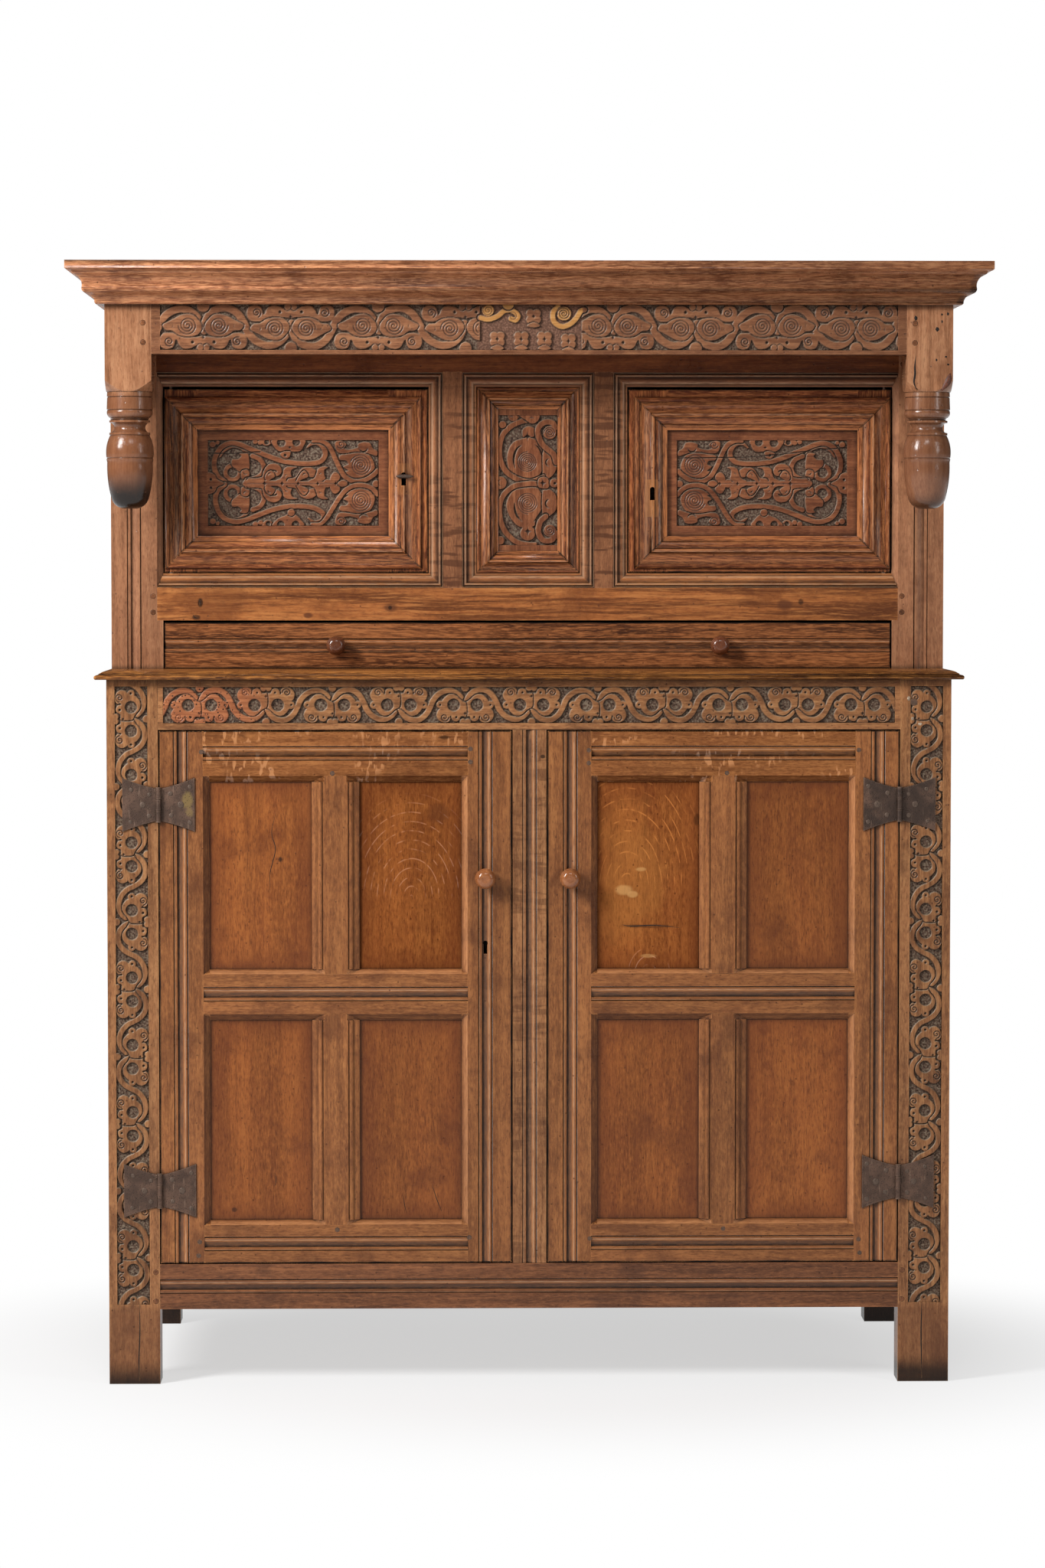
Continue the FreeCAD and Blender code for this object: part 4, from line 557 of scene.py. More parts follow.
# Mouldings that run along a board: node, axis across it, where share 0 and share 1 lie
RUN_WIDTH = 21.5
RUN_MIDDLES = (
    ("lower_left_door_stiles", "x", -512.4), ("lower_left_door_stiles", "x", -65.1),
    ("lower_right_door_stiles", "x", 512.4), ("lower_right_door_stiles", "x", 59.6),
    *((f"lower_{side}_door_rails", "z", z) for side in ("left", "right") for z in (207.6, 577.1, 931.5)),
    ("lower_bottom_rail", "z", 144.5), ("lower_centre_muntin", "x", 0.0), ("drawer_front", "z", 1087.5),
)
SURROUNDS = (
    ("upper_muntins", "x", -126.0, -148.0), ("upper_muntins", "x", -99.0, -77.0),
    ("upper_muntins", "x", 126.0, 148.0), ("upper_muntins", "x", 99.0, 77.0),
    ("upper_bottom_rail", "z", 1173.0, 1195.0), ("upper_top_rail", "z", 1494.0, 1472.0),
)
# Nodes whose outer edges take a thin band of painted shade beside their gaps
RIMMED = ("lower_left_door_stiles", "lower_left_door_rails", "lower_right_door_stiles",
          "lower_right_door_rails", "upper_left_door_frame", "upper_right_door_frame", "drawer_front")

# The bevels of the doors' stiles and rails beside the panels
BEVEL, FOOT_BEVEL = 9.2, 7.0
LOWEST_RAIL_TOP, HIGHEST_RAIL_FOOT = 242.0, 890.0


def lines_of(name, low, high, middle):
    """The moulding lines of one board, which lies between two corners."""
    found = []
    for node, axis, place in RUN_MIDDLES:
        if node == name and low[ALONG[axis]] < place * MM < high[ALONG[axis]]:
            found.append(("run", axis, place - RUN_WIDTH / 2, place + RUN_WIDTH / 2))
    for node, axis, outer, inner in SURROUNDS:
        if node == name and low[ALONG[axis]] < (outer + inner) / 2 * MM < high[ALONG[axis]]:
            found.append(("surround", axis, outer, inner))
    if name.endswith("_mouldings") and ("door" in name or "centre" in name):
        axis = "x" if high[2] - low[2] > high[0] - low[0] else "z"
        number = ALONG[axis]
        ends = (low[number] / MM, high[number] / MM)
        if low[number] + high[number] > 2 * middle[number]:
            ends = ends[::-1]
        found.append(("door" if axis == "x" else "level", axis, *ends))
    # Bevels facing right or down take painted shade, those facing left or up painted light
    if name.endswith("_door_stiles"):
        if low[0] < middle[0]:
            found.append(("shaded", "x", high[0] / MM - BEVEL, high[0] / MM))
        else:
            found.append(("worn", "x", low[0] / MM + BEVEL, low[0] / MM))
    if name.endswith("_door_rails"):
        if low[2] > LOWEST_RAIL_TOP * MM:
            found.append(("shaded", "z", low[2] / MM + BEVEL, low[2] / MM))
        if high[2] < HIGHEST_RAIL_FOOT * MM:
            found.append(("worn", "z", high[2] / MM - FOOT_BEVEL, high[2] / MM))
    return tuple(found)


def marks_of(name, low, high):
    """What a board has of its own, from where its middle lies."""
    x, _, z = (low + high) / 2 / MM
    for node, middle, extra in MARKED_BOARDS:
        if node == name and abs(x - middle[0]) < NEAR_ACROSS and abs(z - middle[1]) < NEAR_UP:
            return extra
    return {}


WOOD_OF_NODE = {
    "lower_left_front_stile": "carcase", "lower_right_front_stile": "carcase", "lower_frieze_rail": "carcase",
    "lower_centre_muntin": "carcase", "lower_bottom_rail": "base_rail", "rear_stiles": "side",
    "side_rails": "side", "side_muntins": "side", "side_panels": "side", "back_rails": "inner",
    "back_boards": "inner", "lower_floor_boards": "inner", "upper_floor_boards": "inner",
    "ledge_mouldings": "ledge", "ledge_boards": "ledge", "upper_front_stiles": "upper_stile",
    "upper_bottom_rail": "upper_rail", "upper_top_rail": "top_rail", "upper_muntins": "muntin",
    "centre_panel": "upper_panel", "centre_panel_mouldings": "upper_door", "canopy_left_post": "post",
    "canopy_right_post": "post", "canopy_frieze_rail": "canopy", "canopy_soffit_board": "cornice",
    "cornice_mouldings": "cornice", "top_boards": "inner", "frame_pegs": "base_rail", "drawer_guides": "inner",
    "drawer_front": "drawer", "drawer_sides_and_back": "inner", "drawer_bottom": "inner",
    "drawer_knobs": "dark_knob", "lower_left_door_knob": "knob", "lower_right_door_knob": "knob",
}
for side in ("left", "right"):
    for part in ("stiles", "rails", "muntins"):
        WOOD_OF_NODE[f"lower_{side}_door_{part}"] = "door"
    WOOD_OF_NODE[f"lower_{side}_door_panels"] = "panel"
    WOOD_OF_NODE[f"upper_{side}_door_frame"] = "upper_door"
    WOOD_OF_NODE[f"upper_{side}_door_mouldings"] = "upper_door"
    WOOD_OF_NODE[f"upper_{side}_door_panel"] = "upper_panel"


def set_modifier(obj, kind, **settings):
    modifier = obj.modifiers.new(kind.lower(), kind)
    for key, value in settings.items():
        setattr(modifier, key, value)
    return modifier


WOOD_ARRIS, IRON_ARRIS = 0.9, 0.35


def soften(obj, width):
    """Rounds the arrises of a node without touching its mesh."""
    set_modifier(obj, "WELD", merge_threshold=0.000002)
    set_modifier(obj, "DECIMATE", decimate_type="DISSOLVE", angle_limit=math.radians(0.4))
    set_modifier(obj, "BEVEL", width=width * MM, segments=2, limit_method="ANGLE",
                 angle_limit=math.radians(32.0), use_clamp_overlap=True)
    set_modifier(obj, "WEIGHTED_NORMAL", weight=50, keep_sharp=False)
    obj.data.polygons.foreach_set("use_smooth", [True] * len(obj.data.polygons))


def front_box(low, high):
    """Left, right, foot and top of a box between two corners, seen from the front."""
    return low[0], high[0], low[2], high[2]


def dress_wood(name, kind):
    """Gives each board of a node a finish of its own."""
    obj = nodes[name]
    mesh = obj.data
    mesh.materials.clear()
    places = np.zeros(len(mesh.polygons), int)
    slots = []
    found = boards(obj)
    lowest = np.min([low for _, low, _ in found], axis=0)
    highest = np.max([high for _, _, high in found], axis=0)
    whole = front_box(lowest, highest)
    framed = "door_mouldings" in name or name == "centre_panel_mouldings"
    for number, (faces, low, high) in enumerate(found):
        finish = board_finish(
            kind, "xyz"[int(np.argmax(high - low))], (number * 5 + len(name)) % len(LIFTS),
            lines=lines_of(name, low, high, (lowest + highest) / 2),
            rim=whole if name in RIMMED else None,
            mitre=whole if framed else None,
            vignette=front_box(low, high) if name.endswith("_door_panels") else None,
            **marks_of(name, low, high))
        if finish not in slots:
            slots.append(finish)
        places[faces] = slots.index(finish)
    for finish in slots:
        mesh.materials.append(finish)
    mesh.polygons.foreach_set("material_index", places.astype(np.int32))
    mesh.update()
    soften(obj, WOOD_ARRIS)


for name, kind in WOOD_OF_NODE.items():
    dress_wood(name, kind)


def iron(name, colour, light, stains=()):
    """Old pitted iron."""
    f = Finish(name)
    cloud = f.noise(f.moved(45.0), 5.0, 0.65)
    pits = f.cells(f.moved(420.0)).fade(0.35, 0.12)
    scratches = f.noise(f.moved((300.0, 300.0, 40.0), turn=(0.4, 0.9, 0.2)), 3.0)
    f.colour = f.mix(cloud.fade(0.35, 0.68), colour, tone(colour, 2.0))
    f.lay_patterns((scratches, 0.60, 0.72, 0.5, light))
    for stain in stains:
        f.stain(cloud, *stain)
    f.lay_patterns((f.nearness(0.002, inside=True), 0.35, 0.7, 0.7, light))
    f.lay(pits * 0.6, tone(colour, 0.4))
    # Painted shade, with dirt, in the iron's corners
    f.lay_patterns((f.nearness(0.006), 0.4, 0.9, 0.8, tone(DIRT_AND_SHADE, 0.7)))
    height = cloud * 1.5 - pits * 1.5 + scratches * 0.4
    return f.close(0.42 + cloud * 0.3, height, 0.0003, metallic=0.35)


BRASS = (0.33, 0.22, 0.065)
hinge_iron = iron("hinge_iron", (0.068, 0.037, 0.024), (0.28, 0.18, 0.125),
                  (((-502.0, 862.0), (9.0, 13.0), BRASS, 0.5), ((-499.0, 846.0), (7.0, 9.0), BRASS, 0.4),
                   ((544.0, 856.0), (62.0, 62.0), SOOT_AND_SHADOW, 0.45)))
lock_iron = iron("lock_iron", (0.06, 0.05, 0.043), (0.2, 0.17, 0.15))
for name, obj in nodes.items():
    if name not in WOOD_OF_NODE:
        obj.data.materials.clear()
        obj.data.materials.append(lock_iron if "lock" in name else hinge_iron)
        soften(obj, IRON_ARRIS)


def add_object(name, data):
    obj = bpy.data.objects.new(name, data)
    bpy.context.scene.collection.objects.link(obj)
    return obj


def add_piece(name, mesh, material, body="cupboard_case", slot="oak_carcase"):
    """Puts a new mesh in the scene, smooth where its faces are small, and gives it to its owning body; the
    slot is not used.
    """
    mesh.materials.append(material)
    mesh.polygons.foreach_set("use_smooth", [len(p.vertices) < 5 for p in mesh.polygons])
    mesh.update()
    piece = add_object(name, mesh)
    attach(piece, body)


# Carving: heights over a fine grid, drawn with strokes

def smooth_line(points, closed=False, steps=7):
    """A Catmull-Rom curve through the points, of x, y and any further values."""
    points = np.array(points, float)
    if closed:
        points = np.vstack([points[-1], points, points[:2]])
    else:
        points = np.vstack([2 * points[0] - points[1], points, 2 * points[-1] - points[-2]])
    t = np.linspace(0.0, 1.0, steps, endpoint=False)[:, None]
    spans = []
    for a, b, c, d in zip(points, points[1:], points[2:], points[3:]):
        spans.append(0.5 * (2 * b + (c - a) * t + (2 * a - 5 * b + 4 * c - d) * t ** 2
                            + (3 * b - a - 3 * c + d) * t ** 3))
    if not closed:
        spans.append(points[-2][None, :])
    return np.vstack(spans)


# How far a shape's own edge reaches into the grid around it, standing or sunk
SHAPE_REACH, SUNK_REACH = 9.0, 6.0
WALL = 0.9
INSET = 0.03


class Carving:
    """A sunk field with ornament left standing in it, in millimetres about its middle."""

    def __init__(self, field, cell, seed, swell):
        self.field = field
        self.swell = swell
        self.columns = round(field["width"] / cell)
        self.rows = round(field["height"] / cell)
        self.across = np.linspace(-field["width"] / 2, field["width"] / 2, self.columns + 1)
        self.up = np.linspace(-field["height"] / 2, field["height"] / 2, self.rows + 1)
        shape = (self.rows + 1, self.columns + 1)
        self.inside = np.full(shape, -50.0)
        self.cuts = np.zeros(shape)
        self.fresh = np.zeros(shape, bool)
        self.random = np.random.default_rng(seed)

    def window(self, points, reach):
        """The part of the grid within reach of some points, and its places."""
        low = points[:, :2].min(0) - reach
        high = points[:, :2].max(0) + reach
        i0, i1 = np.searchsorted(self.across, (low[0], high[0]))
        j0, j1 = np.searchsorted(self.up, (low[1], high[1]))
        rows, columns = slice(j0, j1), slice(i0, i1)
        x, y = np.meshgrid(self.across[columns], self.up[rows])
        return (rows, columns), x, y

    def around(self, x0, y0, reach):
        """The part of the grid about one place, and its distances across and up from there."""
        window, x, y = self.window(np.array([[x0, y0]]), reach)
        return window, x - x0, y - y0

    def line_distance(self, line, x, y):
        """Distance to a line less its half width there, and the plain distance."""
        best = np.full(x.shape, 1e3)
        plain = np.full(x.shape, 1e3)
        for a, b in zip(line, line[1:]):
            step = b[:2] - a[:2]
            length = max(float(step @ step), 1e-9)
            t = np.clip(((x - a[0]) * step[0] + (y - a[1]) * step[1]) / length, 0.0, 1.0)
            d = np.hypot(x - a[0] - t * step[0], y - a[1] - t * step[1])
            half = a[2] + (b[2] - a[2]) * t
            best = np.minimum(best, d - half)
            plain = np.minimum(plain, d)
        return best, plain

    def raise_up(self, window, amount, gap):
        """Leaves a shape standing, with a gap between it and what was there."""
        old = self.inside[window]
        if gap:
            old = np.minimum(old, -amount - gap - 2 * self.swell)
        self.inside[window] = np.maximum(old, amount)

    def sink(self, window, distance):
        """Sinks a shape to the ground."""
        self.inside[window] = np.minimum(self.inside[window], distance)

    def cut(self, window, depth):
        self.cuts[window] = np.maximum(self.cuts[window], depth)

    def band(self, points, width, gap=1.3):
        """A strap; points may carry their own half width as a third value."""
        line = smooth_line([(*p, width / 2) if len(p) == 2 else p for p in points])
        window, x, y = self.window(line, SHAPE_REACH)
        self.raise_up(window, -self.line_distance(line, x, y)[0], gap)

    def leaf(self, points, gap=0.0):
        """A closed shape with a smooth outline."""
        line = smooth_line(points, closed=True, steps=5)
        line = np.vstack([line, line[:1]])
        line = np.column_stack([line, np.zeros(len(line))])
        window, x, y = self.window(line, SHAPE_REACH)
        distance, _ = self.line_distance(line, x, y)
        odd = np.zeros(x.shape, bool)
        for a, b in zip(line, line[1:]):
            if a[1] == b[1]:
                continue
            crossing = (a[1] > y) != (b[1] > y)
            odd ^= crossing & (x < a[0] + (y - a[1]) * (b[0] - a[0]) / (b[1] - a[1]))
        self.raise_up(window, np.where(odd, distance, -distance), gap)

    def disc(self, x0, y0, radius, gap=0.0):
        window, x, y = self.around(x0, y0, radius + SHAPE_REACH)
        self.raise_up(window, radius - np.hypot(x, y), gap)

    def hole(self, x0, y0, radius):
        """A round place sunk to the ground."""
        window, x, y = self.around(x0, y0, radius + SUNK_REACH)
        self.sink(window, np.hypot(x, y) - radius)

    def slit(self, points, width):
        """A narrow lens-shaped place sunk to the ground."""
        count = len(points) - 1
        halves = [width / 2 * math.sin(math.pi * (0.08 + 0.84 * i / count)) for i in range(count + 1)]
        line = smooth_line([(*p, half) for p, half in zip(points, halves)])
        window, x, y = self.window(line, SUNK_REACH)
        self.sink(window, self.line_distance(line, x, y)[0])

    def moon(self, x0, y0, radius, facing, thin=0.55):
        """A crescent sunk to the ground, its belly towards an angle."""
        window, x, y = self.around(x0, y0, radius + SUNK_REACH)
        shift = radius * thin
        inner = radius - np.hypot(x + math.cos(facing) * shift, y + math.sin(facing) * shift)
        self.sink(window, np.maximum(np.hypot(x, y) - radius, inner))

    def star(self, x0, y0, radius):
        """A four-pointed punch mark."""
        window, x, y = self.around(x0, y0, radius + 1.0)
        reach = np.sqrt(np.abs(x) / radius) + np.sqrt(np.abs(y) / radius)
        self.cut(window, 2.2 * np.clip((1.08 - reach) * 2.2, 0.0, 1.0))

    def groove(self, points, width, depth):
        """A scored line with a smooth run."""
        self.score(smooth_line([(*p, 0.0) for p in points]), width, depth)

    def score(self, line, width, depth):
        window, x, y = self.window(line, 3.0)
        self.cut(window, depth * np.clip(1.0 - self.line_distance(line, x, y)[1] / (width / 2), 0.0, 1.0))

    def coil(self, x0, y0, radius, turns, start, hand, width, depth):
        """A snail: a scored line that winds in from the rim."""
        count = int(18 * turns)
        t = np.linspace(0.0, 1.0, count + 1)
        r = radius * (1.0 - t * 0.93)
        angle = start + hand * t * turns * 2 * math.pi
        line = np.column_stack([x0 + r * np.cos(angle), y0 + r * np.sin(angle), np.zeros(count + 1)])
        self.score(line, width, depth)

    def unevenness(self, cell, size):
        """Smooth hand-made waviness over the whole field."""
        rows = max(3, round(self.field["height"] / cell) + 3)
        columns = max(3, round(self.field["width"] / cell) + 3)
        coarse = self.random.uniform(-size, size, (rows, columns))
        y = np.linspace(0, rows - 1.001, self.rows + 1)
        x = np.linspace(0, columns - 1.001, self.columns + 1)
        j, i = y.astype(int)[:, None], x.astype(int)[None, :]
        v, u = (y - y.astype(int))[:, None], (x - x.astype(int))[None, :]
        u, v = u * u * (3 - 2 * u), v * v * (3 - 2 * v)
        top = coarse[j, i] * (1 - u) + coarse[j, i + 1] * u
        low = coarse[j + 1, i] * (1 - u) + coarse[j + 1, i + 1] * u
        return top * (1 - v) + low * v

    def finish(self, name, material, plane, *owner):
        """Makes the piece: a fine grid with these heights, sides and a flat back."""
        self.inside += self.swell
        wobble = self.unevenness(2.6, 0.22)
        risen = np.clip((self.inside + wobble) / WALL + 0.5, 0.0, 1.0)
        risen = risen * risen * (3 - 2 * risen)
        shoulder = 0.35 * np.exp(-np.clip(self.inside, 0.0, None) / WALL)
        top = -shoulder - self.cuts - 0.08 + self.unevenness(9.0, 0.07)
        ground = -GROUND_DEPTH + self.unevenness(1.9, 0.28)
        heights = np.minimum(ground + (top - ground) * risen, -0.02)
        heights = np.maximum(heights, -INLAY_DEPTH + 0.12)
        # Which way each wall faces, towards the lamp at the upper left or away from it
        slope_up, slope_right = np.gradient(heights, self.up, self.across)
        toward_light = (0.5 * slope_right - slope_up) * (risen > 0.02) / 1.6

        bm = bmesh.new()
        bmesh.ops.create_grid(bm, x_segments=self.columns, y_segments=self.rows, size=0.5)
        rim = [e for e in bm.edges if e.is_boundary]
        grown = bmesh.ops.extrude_edge_only(bm, edges=rim)["geom"]
        back = [v for v in grown if isinstance(v, bmesh.types.BMVert)]
        bmesh.ops.translate(bm, verts=back, vec=(0.0, 0.0, -1.0))
        bmesh.ops.edgeloop_fill(bm, edges=[e for e in bm.edges if e.is_boundary])
        bmesh.ops.recalc_face_normals(bm, faces=bm.faces)
        mesh = bpy.data.meshes.new(name)
        bm.to_mesh(mesh)
        bm.free()
        places = np.empty(len(mesh.vertices) * 3)
        mesh.vertices.foreach_get("co", places)
        places = places.reshape(-1, 3)
        column = np.rint((places[:, 0] + 0.5) * self.columns).astype(int)
        row = np.rint((places[:, 1] + 0.5) * self.rows).astype(int)
        behind = places[:, 2] < -0.5
        height = np.where(behind, -INLAY_DEPTH, heights[row, column])
        spread_x = (self.field["width"] - 2 * INSET) / self.field["width"]
        spread_y = (self.field["height"] - 2 * INSET) / self.field["height"]
        put = np.column_stack([
            self.field["x"] + self.across[column] * spread_x,
            plane - height,
            self.field["z"] + self.up[row] * spread_y,
        ]) * MM
        mesh.vertices.foreach_set("co", put.ravel())
        marks = {
            "ground": 1.0 - risen,
            # Scored lines and the feet of the walls, where painted shade is laid
            "cut": np.clip(self.cuts / 1.4, 0.0, 1.0),
            "foot": np.exp(-np.abs(self.inside + 0.55) / 0.75),
            # The figures' arrises, for a painted highlight
            "edge": np.exp(-np.abs(self.inside - 0.9) / 0.8) * (self.inside > -0.3),
            "fresh": self.fresh,
            # Walls facing the lamp, for dust and painted light, and walls facing away, for grime and painted
            # shade
            "dust_and_light": np.clip(toward_light, 0.0, 1.0),
            "grime_and_shade": np.clip(-toward_light, 0.0, 1.0),
        }
        for mark, values in marks.items():
            values = values[row, column].astype(np.float32)
            mesh.attributes.new(mark, "FLOAT", "POINT").data.foreach_set("value", values)
        add_piece(name, mesh, material, *owner)


# The running ornament of the frieze and the stiles, drawn for a pitch of 99.4 and a field of 48
UNIT_PITCH = 99.4
UNIT_HEIGHT = 48.0
STRAP = ((0.013, -0.08), (0.029, 0.137), (0.096, 0.33), (0.196, 0.416), (0.308, 0.403), (0.408, 0.266),
         (0.475, 0.05), (0.52, -0.14), (0.61, -0.313), (0.732, -0.40), (0.844, -0.356), (0.933, -0.206),
         (0.978, 0.01), (0.987, 0.08))
COMMA = ((-1.0, 1.0), (4.0, 4.5), (8.2, 7.2), (12.6, 11.0), (18.3, 13.7), (25.5, 13.0), (30.5, 9.4),
         (34.0, 5.0), (36.5, -4.0), (40.3, -7.6), (42.3, -13.8), (39.3, -19.8), (32.7, -22.8), (26.0, -22.4),
         (22.6, -19.2), (23.6, -15.4), (20.6, -13.6), (19.4, -19.0), (14.2, -21.6), (9.6, -20.0),
         (7.4, -15.4), (2.6, -14.6), (-1.0, -14.0))


def level(middle, arch):
    """Places of a unit that lies along a rail; an arch of -1 turns it upside down."""
    return lambda s, t: (middle + s, arch * t)


def upright(middle, arch):
    """Places of a unit that stands along a stile."""
    return lambda s, t: (arch * t, middle - s)


def eyed_half(c, place, way, along_scale, across_scale, eye):
    """Half of a pair: a comma with a sunk eye, a ringed tongue and a volute."""
    def at(s, t):
        return place(way * s * along_scale, t * across_scale)

    c.leaf([at(s, t) for s, t in COMMA], gap=0.9)
    c.disc(*at(37.2, 0.2), 5.0)
    c.disc(*at(13.6, -16.2), 5.2)
    c.hole(*at(17.4, 0.0), eye)
    c.hole(*at(37.6, 0.0), 2.1)
    c.hole(*at(13.4, -16.4), 2.2)
    volute = at(31.0, -16.6)
    inner = at(23.4, -16.8)
    start = math.atan2(inner[1] - volute[1], inner[0] - volute[0])
    across = at(31.0, -22.0)
    turn = (inner[0] - volute[0]) * (across[1] - volute[1]) - (inner[1] - volute[1]) * (across[0] - volute[0])
    c.coil(*volute, 6.4, 1.6, start, 1 if turn > 0 else -1, 1.8, 2.0)


def pair(c, place, along_scale, across_scale, eye):
    for way in (1, -1):
        eyed_half(c, place, way, along_scale, across_scale, eye)
    for way in (1, -1):
        c.disc(*place(way * 3.6, -22.5 * across_scale), 3.9)
    c.star(*place(0.0, -11.5 * across_scale), 3.6)
    c.disc(*place(0.0, 22.6 * across_scale), 5.0, gap=0.8)


def run_of_pairs(c, places, pitch, height, strap_width, eye):
    """Straps from pair to pair, and the pairs over them."""
    for place in places:
        c.band([place(s * pitch, t * height) for s, t in STRAP], strap_width)
    for place in places:
        pair(c, place, pitch / UNIT_PITCH, height / UNIT_HEIGHT, eye)


def carve_frieze():
    c = Carving(FRIEZE, 0.82, 11, 1.0)
    pitch = 97.3
    first = 3.0 - 6.0 * pitch
    middles = [first + number * pitch for number in range(13)]
    places = [level(middle, 1 if number % 2 else -1) for number, middle in enumerate(middles)]
    run_of_pairs(c, places, pitch, FRIEZE["height"], 7.0, 9.8)
    for middle in middles:
        c.groove([(middle - 9.0, 0.0), (middle + 9.0, 0.0)], 0.9, 0.5)
    board = oak("frieze_carving_oak", TONES["carcase"], "x", 2.2, 0.40, carved=True, worms=True)
    c.finish("lower_frieze_carving", board, FRONT)


def carve_stile(side, x, grain_seed):
    c = Carving(dict(STILE, x=x), 0.82, 21 + (x > 0), 0.8)
    first = 982.0 - STILE["z"]
    places = [upright(first - number * UNIT_PITCH, -1 if number % 2 else 1) for number in range(-1, 10)]
    run_of_pairs(c, places, UNIT_PITCH, UNIT_HEIGHT, 6.8, 9.3)
    c.groove([(0.0, STILE["height"] / 2), (0.0, 0.0), (0.0, -STILE["height"] / 2)], 0.9, 0.6)
    board = oak(f"{side}_stile_carving_oak", TONES["carcase"], "z", grain_seed, carved=True)
    c.finish(f"lower_{side}_stile_carving", board, FRONT)


# The canopy's ornament: spiral discs in place of eyes, drawn about the middle of a pair
SNAIL_BODY = ((3.0, 4.0), (8.0, 11.0), (14.5, 17.0), (23.0, 18.6), (33.0, 16.8), (43.0, 11.5), (50.0, 8.0),
              (58.5, 3.0), (54.0, -4.0), (45.0, -5.0), (40.0, -8.4), (33.0, -12.0), (22.0, -13.4),
              (10.0, -11.5), (3.0, -4.0))
VOLUTE_BODY = ((0.0, -14.6), (9.0, -14.8), (20.0, -15.0), (30.0, -13.6), (38.0, -10.6), (47.0, -8.8),
               (57.0, -9.4), (62.0, -14.0), (63.6, -22.0), (60.6, -29.0), (54.0, -31.6), (47.0, -30.6),
               (43.4, -27.6), (41.4, -20.5), (40.0, -17.6), (37.0, -20.0), (35.0, -25.0), (31.0, -29.6),
               (25.0, -31.4), (17.0, -30.0), (11.0, -26.6), (5.0, -27.4), (0.0, -26.6))


def snail_half(c, place, way, stretch):
    def at(s, t):
        return place(way * s * stretch, t)

    c.leaf([at(s, t) for s, t in VOLUTE_BODY])
    c.leaf([at(s, t) for s, t in SNAIL_BODY], gap=0.7)
    hand = 1 if -way * place(0.0, 1.0)[1] > 0 else -1
    c.coil(*at(22.8, 2.2), 13.6, 3.0, math.pi / 2 * (1 - way), hand, 1.9, 1.5)
    c.coil(*at(49.6, -21.0), 7.0, 1.7, 1.2 * way, -hand, 1.9, 1.9)
    c.moon(*at(46.5, 2.4), 3.2, math.pi / 2 * (1 + way))
    c.hole(*at(15.8, -22.0), 2.7)


def snail_pair(c, place, stretch):
    for way in (1, -1):
        snail_half(c, place, way, stretch)
    for way in (1, -1):
        c.disc(*place(way * 4.6, -29.5), 4.2, gap=0.5)
    c.star(*place(0.0, -14.8), 4.4)
    c.disc(*place(0.0, 30.5), 8.6, gap=1.0)
    c.disc(*place(4.0, 28.0), 1.2)


# Middles of the pairs on either side of the canopy's bare place, and how far they are stretched along it
CANOPY_RUNS = (((-603.5, -476.0, -348.5, -221.0, -93.5), 1.0),
               ((3.0, 122.0, 243.0, 362.0, 478.0, 597.0), 0.94))
BARE_LEFT, BARE_RIGHT = -73.0, 77.0
ROSETTES = ((-47.0, -17.0), (-12.0, -17.0), (22.0, -17.0), (57.0, -20.0), (6.0, 16.0))


def carve_canopy():
    c = Carving(CANOPY, 0.92, 31, 0.9)
    for middles, stretch in CANOPY_RUNS:
        arches = [1 if number % 2 else -1 for number in range(len(middles))]
        for middle, following, arch in zip(middles, middles[1:], arches):
            place = level(middle, arch)
            c.band([place(s * (following - middle), t * CANOPY["height"]) for s, t in STRAP], 10.2)
        for middle, arch in zip(middles, arches):
            if not BARE_LEFT < middle < BARE_RIGHT:
                snail_pair(c, level(middle, arch), stretch)
    zone = np.maximum(BARE_LEFT - c.across, c.across - BARE_RIGHT)[None, :]
    c.inside = np.minimum(c.inside, zone)
    c.cuts = np.where(zone > 0.6, c.cuts, 0.0)

    # Rosettes fill the bare place
    for middle, up in ROSETTES:
        for turn in range(4):
            angle = math.pi / 4 + turn * math.pi / 2
            c.disc(middle + 6.6 * math.cos(angle), up + 6.6 * math.sin(angle), 5.6)
        c.star(middle, up, 5.0)
        outline = ((-9.0, 13.5), (0.0, 9.0), (9.0, 13.5), (0.0, 16.0))
        c.leaf([(middle + s, up - t) for s, t in outline], gap=0.6)
    old = c.inside.copy()

    # Two scrolls let in later, of paler wood
    c.band([(-72.0, 14.0), (-60.0, 11.5), (-46.0, 16.5), (-37.0, 24.0), (-26.0, 24.5), (-17.0, 17.5),
            (-20.0, 10.5), (-27.0, 12.5)], 6.6)
    c.disc(-60.5, 25.0, 8.2)
    c.coil(-60.5, 25.0, 9.0, 2.3, 0.5, 1, 1.7, 1.2)
    c.coil(-24.5, 16.0, 7.0, 1.6, 2.6, -1, 1.6, 1.2)
    c.disc(-31.0, 34.0, 8.0, gap=1.0)
    c.band([(41.5, 30.0), (34.5, 22.0), (35.5, 9.0), (46.0, 1.5), (58.0, 4.0), (68.0, 13.0), (74.5, 23.5),
            (80.0, 25.5)], 6.8)
    c.disc(50.5, 20.0, 9.8, gap=0.5)
    c.coil(50.0, 20.0, 9.6, 2.6, 3.3, -1, 2.0, 1.8)
    c.fresh = (c.inside > old + 0.05) & (c.inside > -0.8) & (zone < 1.0)
    # Darker towards the right: painted shade, as the lamp is at the left
    board = oak("canopy_carving_oak", TONES["canopy"], "x", 4.7, carved=True, let_in=True,
                fades=(("x", 60.0, 420.0, SHADE, 0.36),),
                worn_ground=((-76.0, 80.0, (0.120, 0.056, 0.035), 0.85),))
    c.finish("canopy_frieze_carving", board, FRONT)


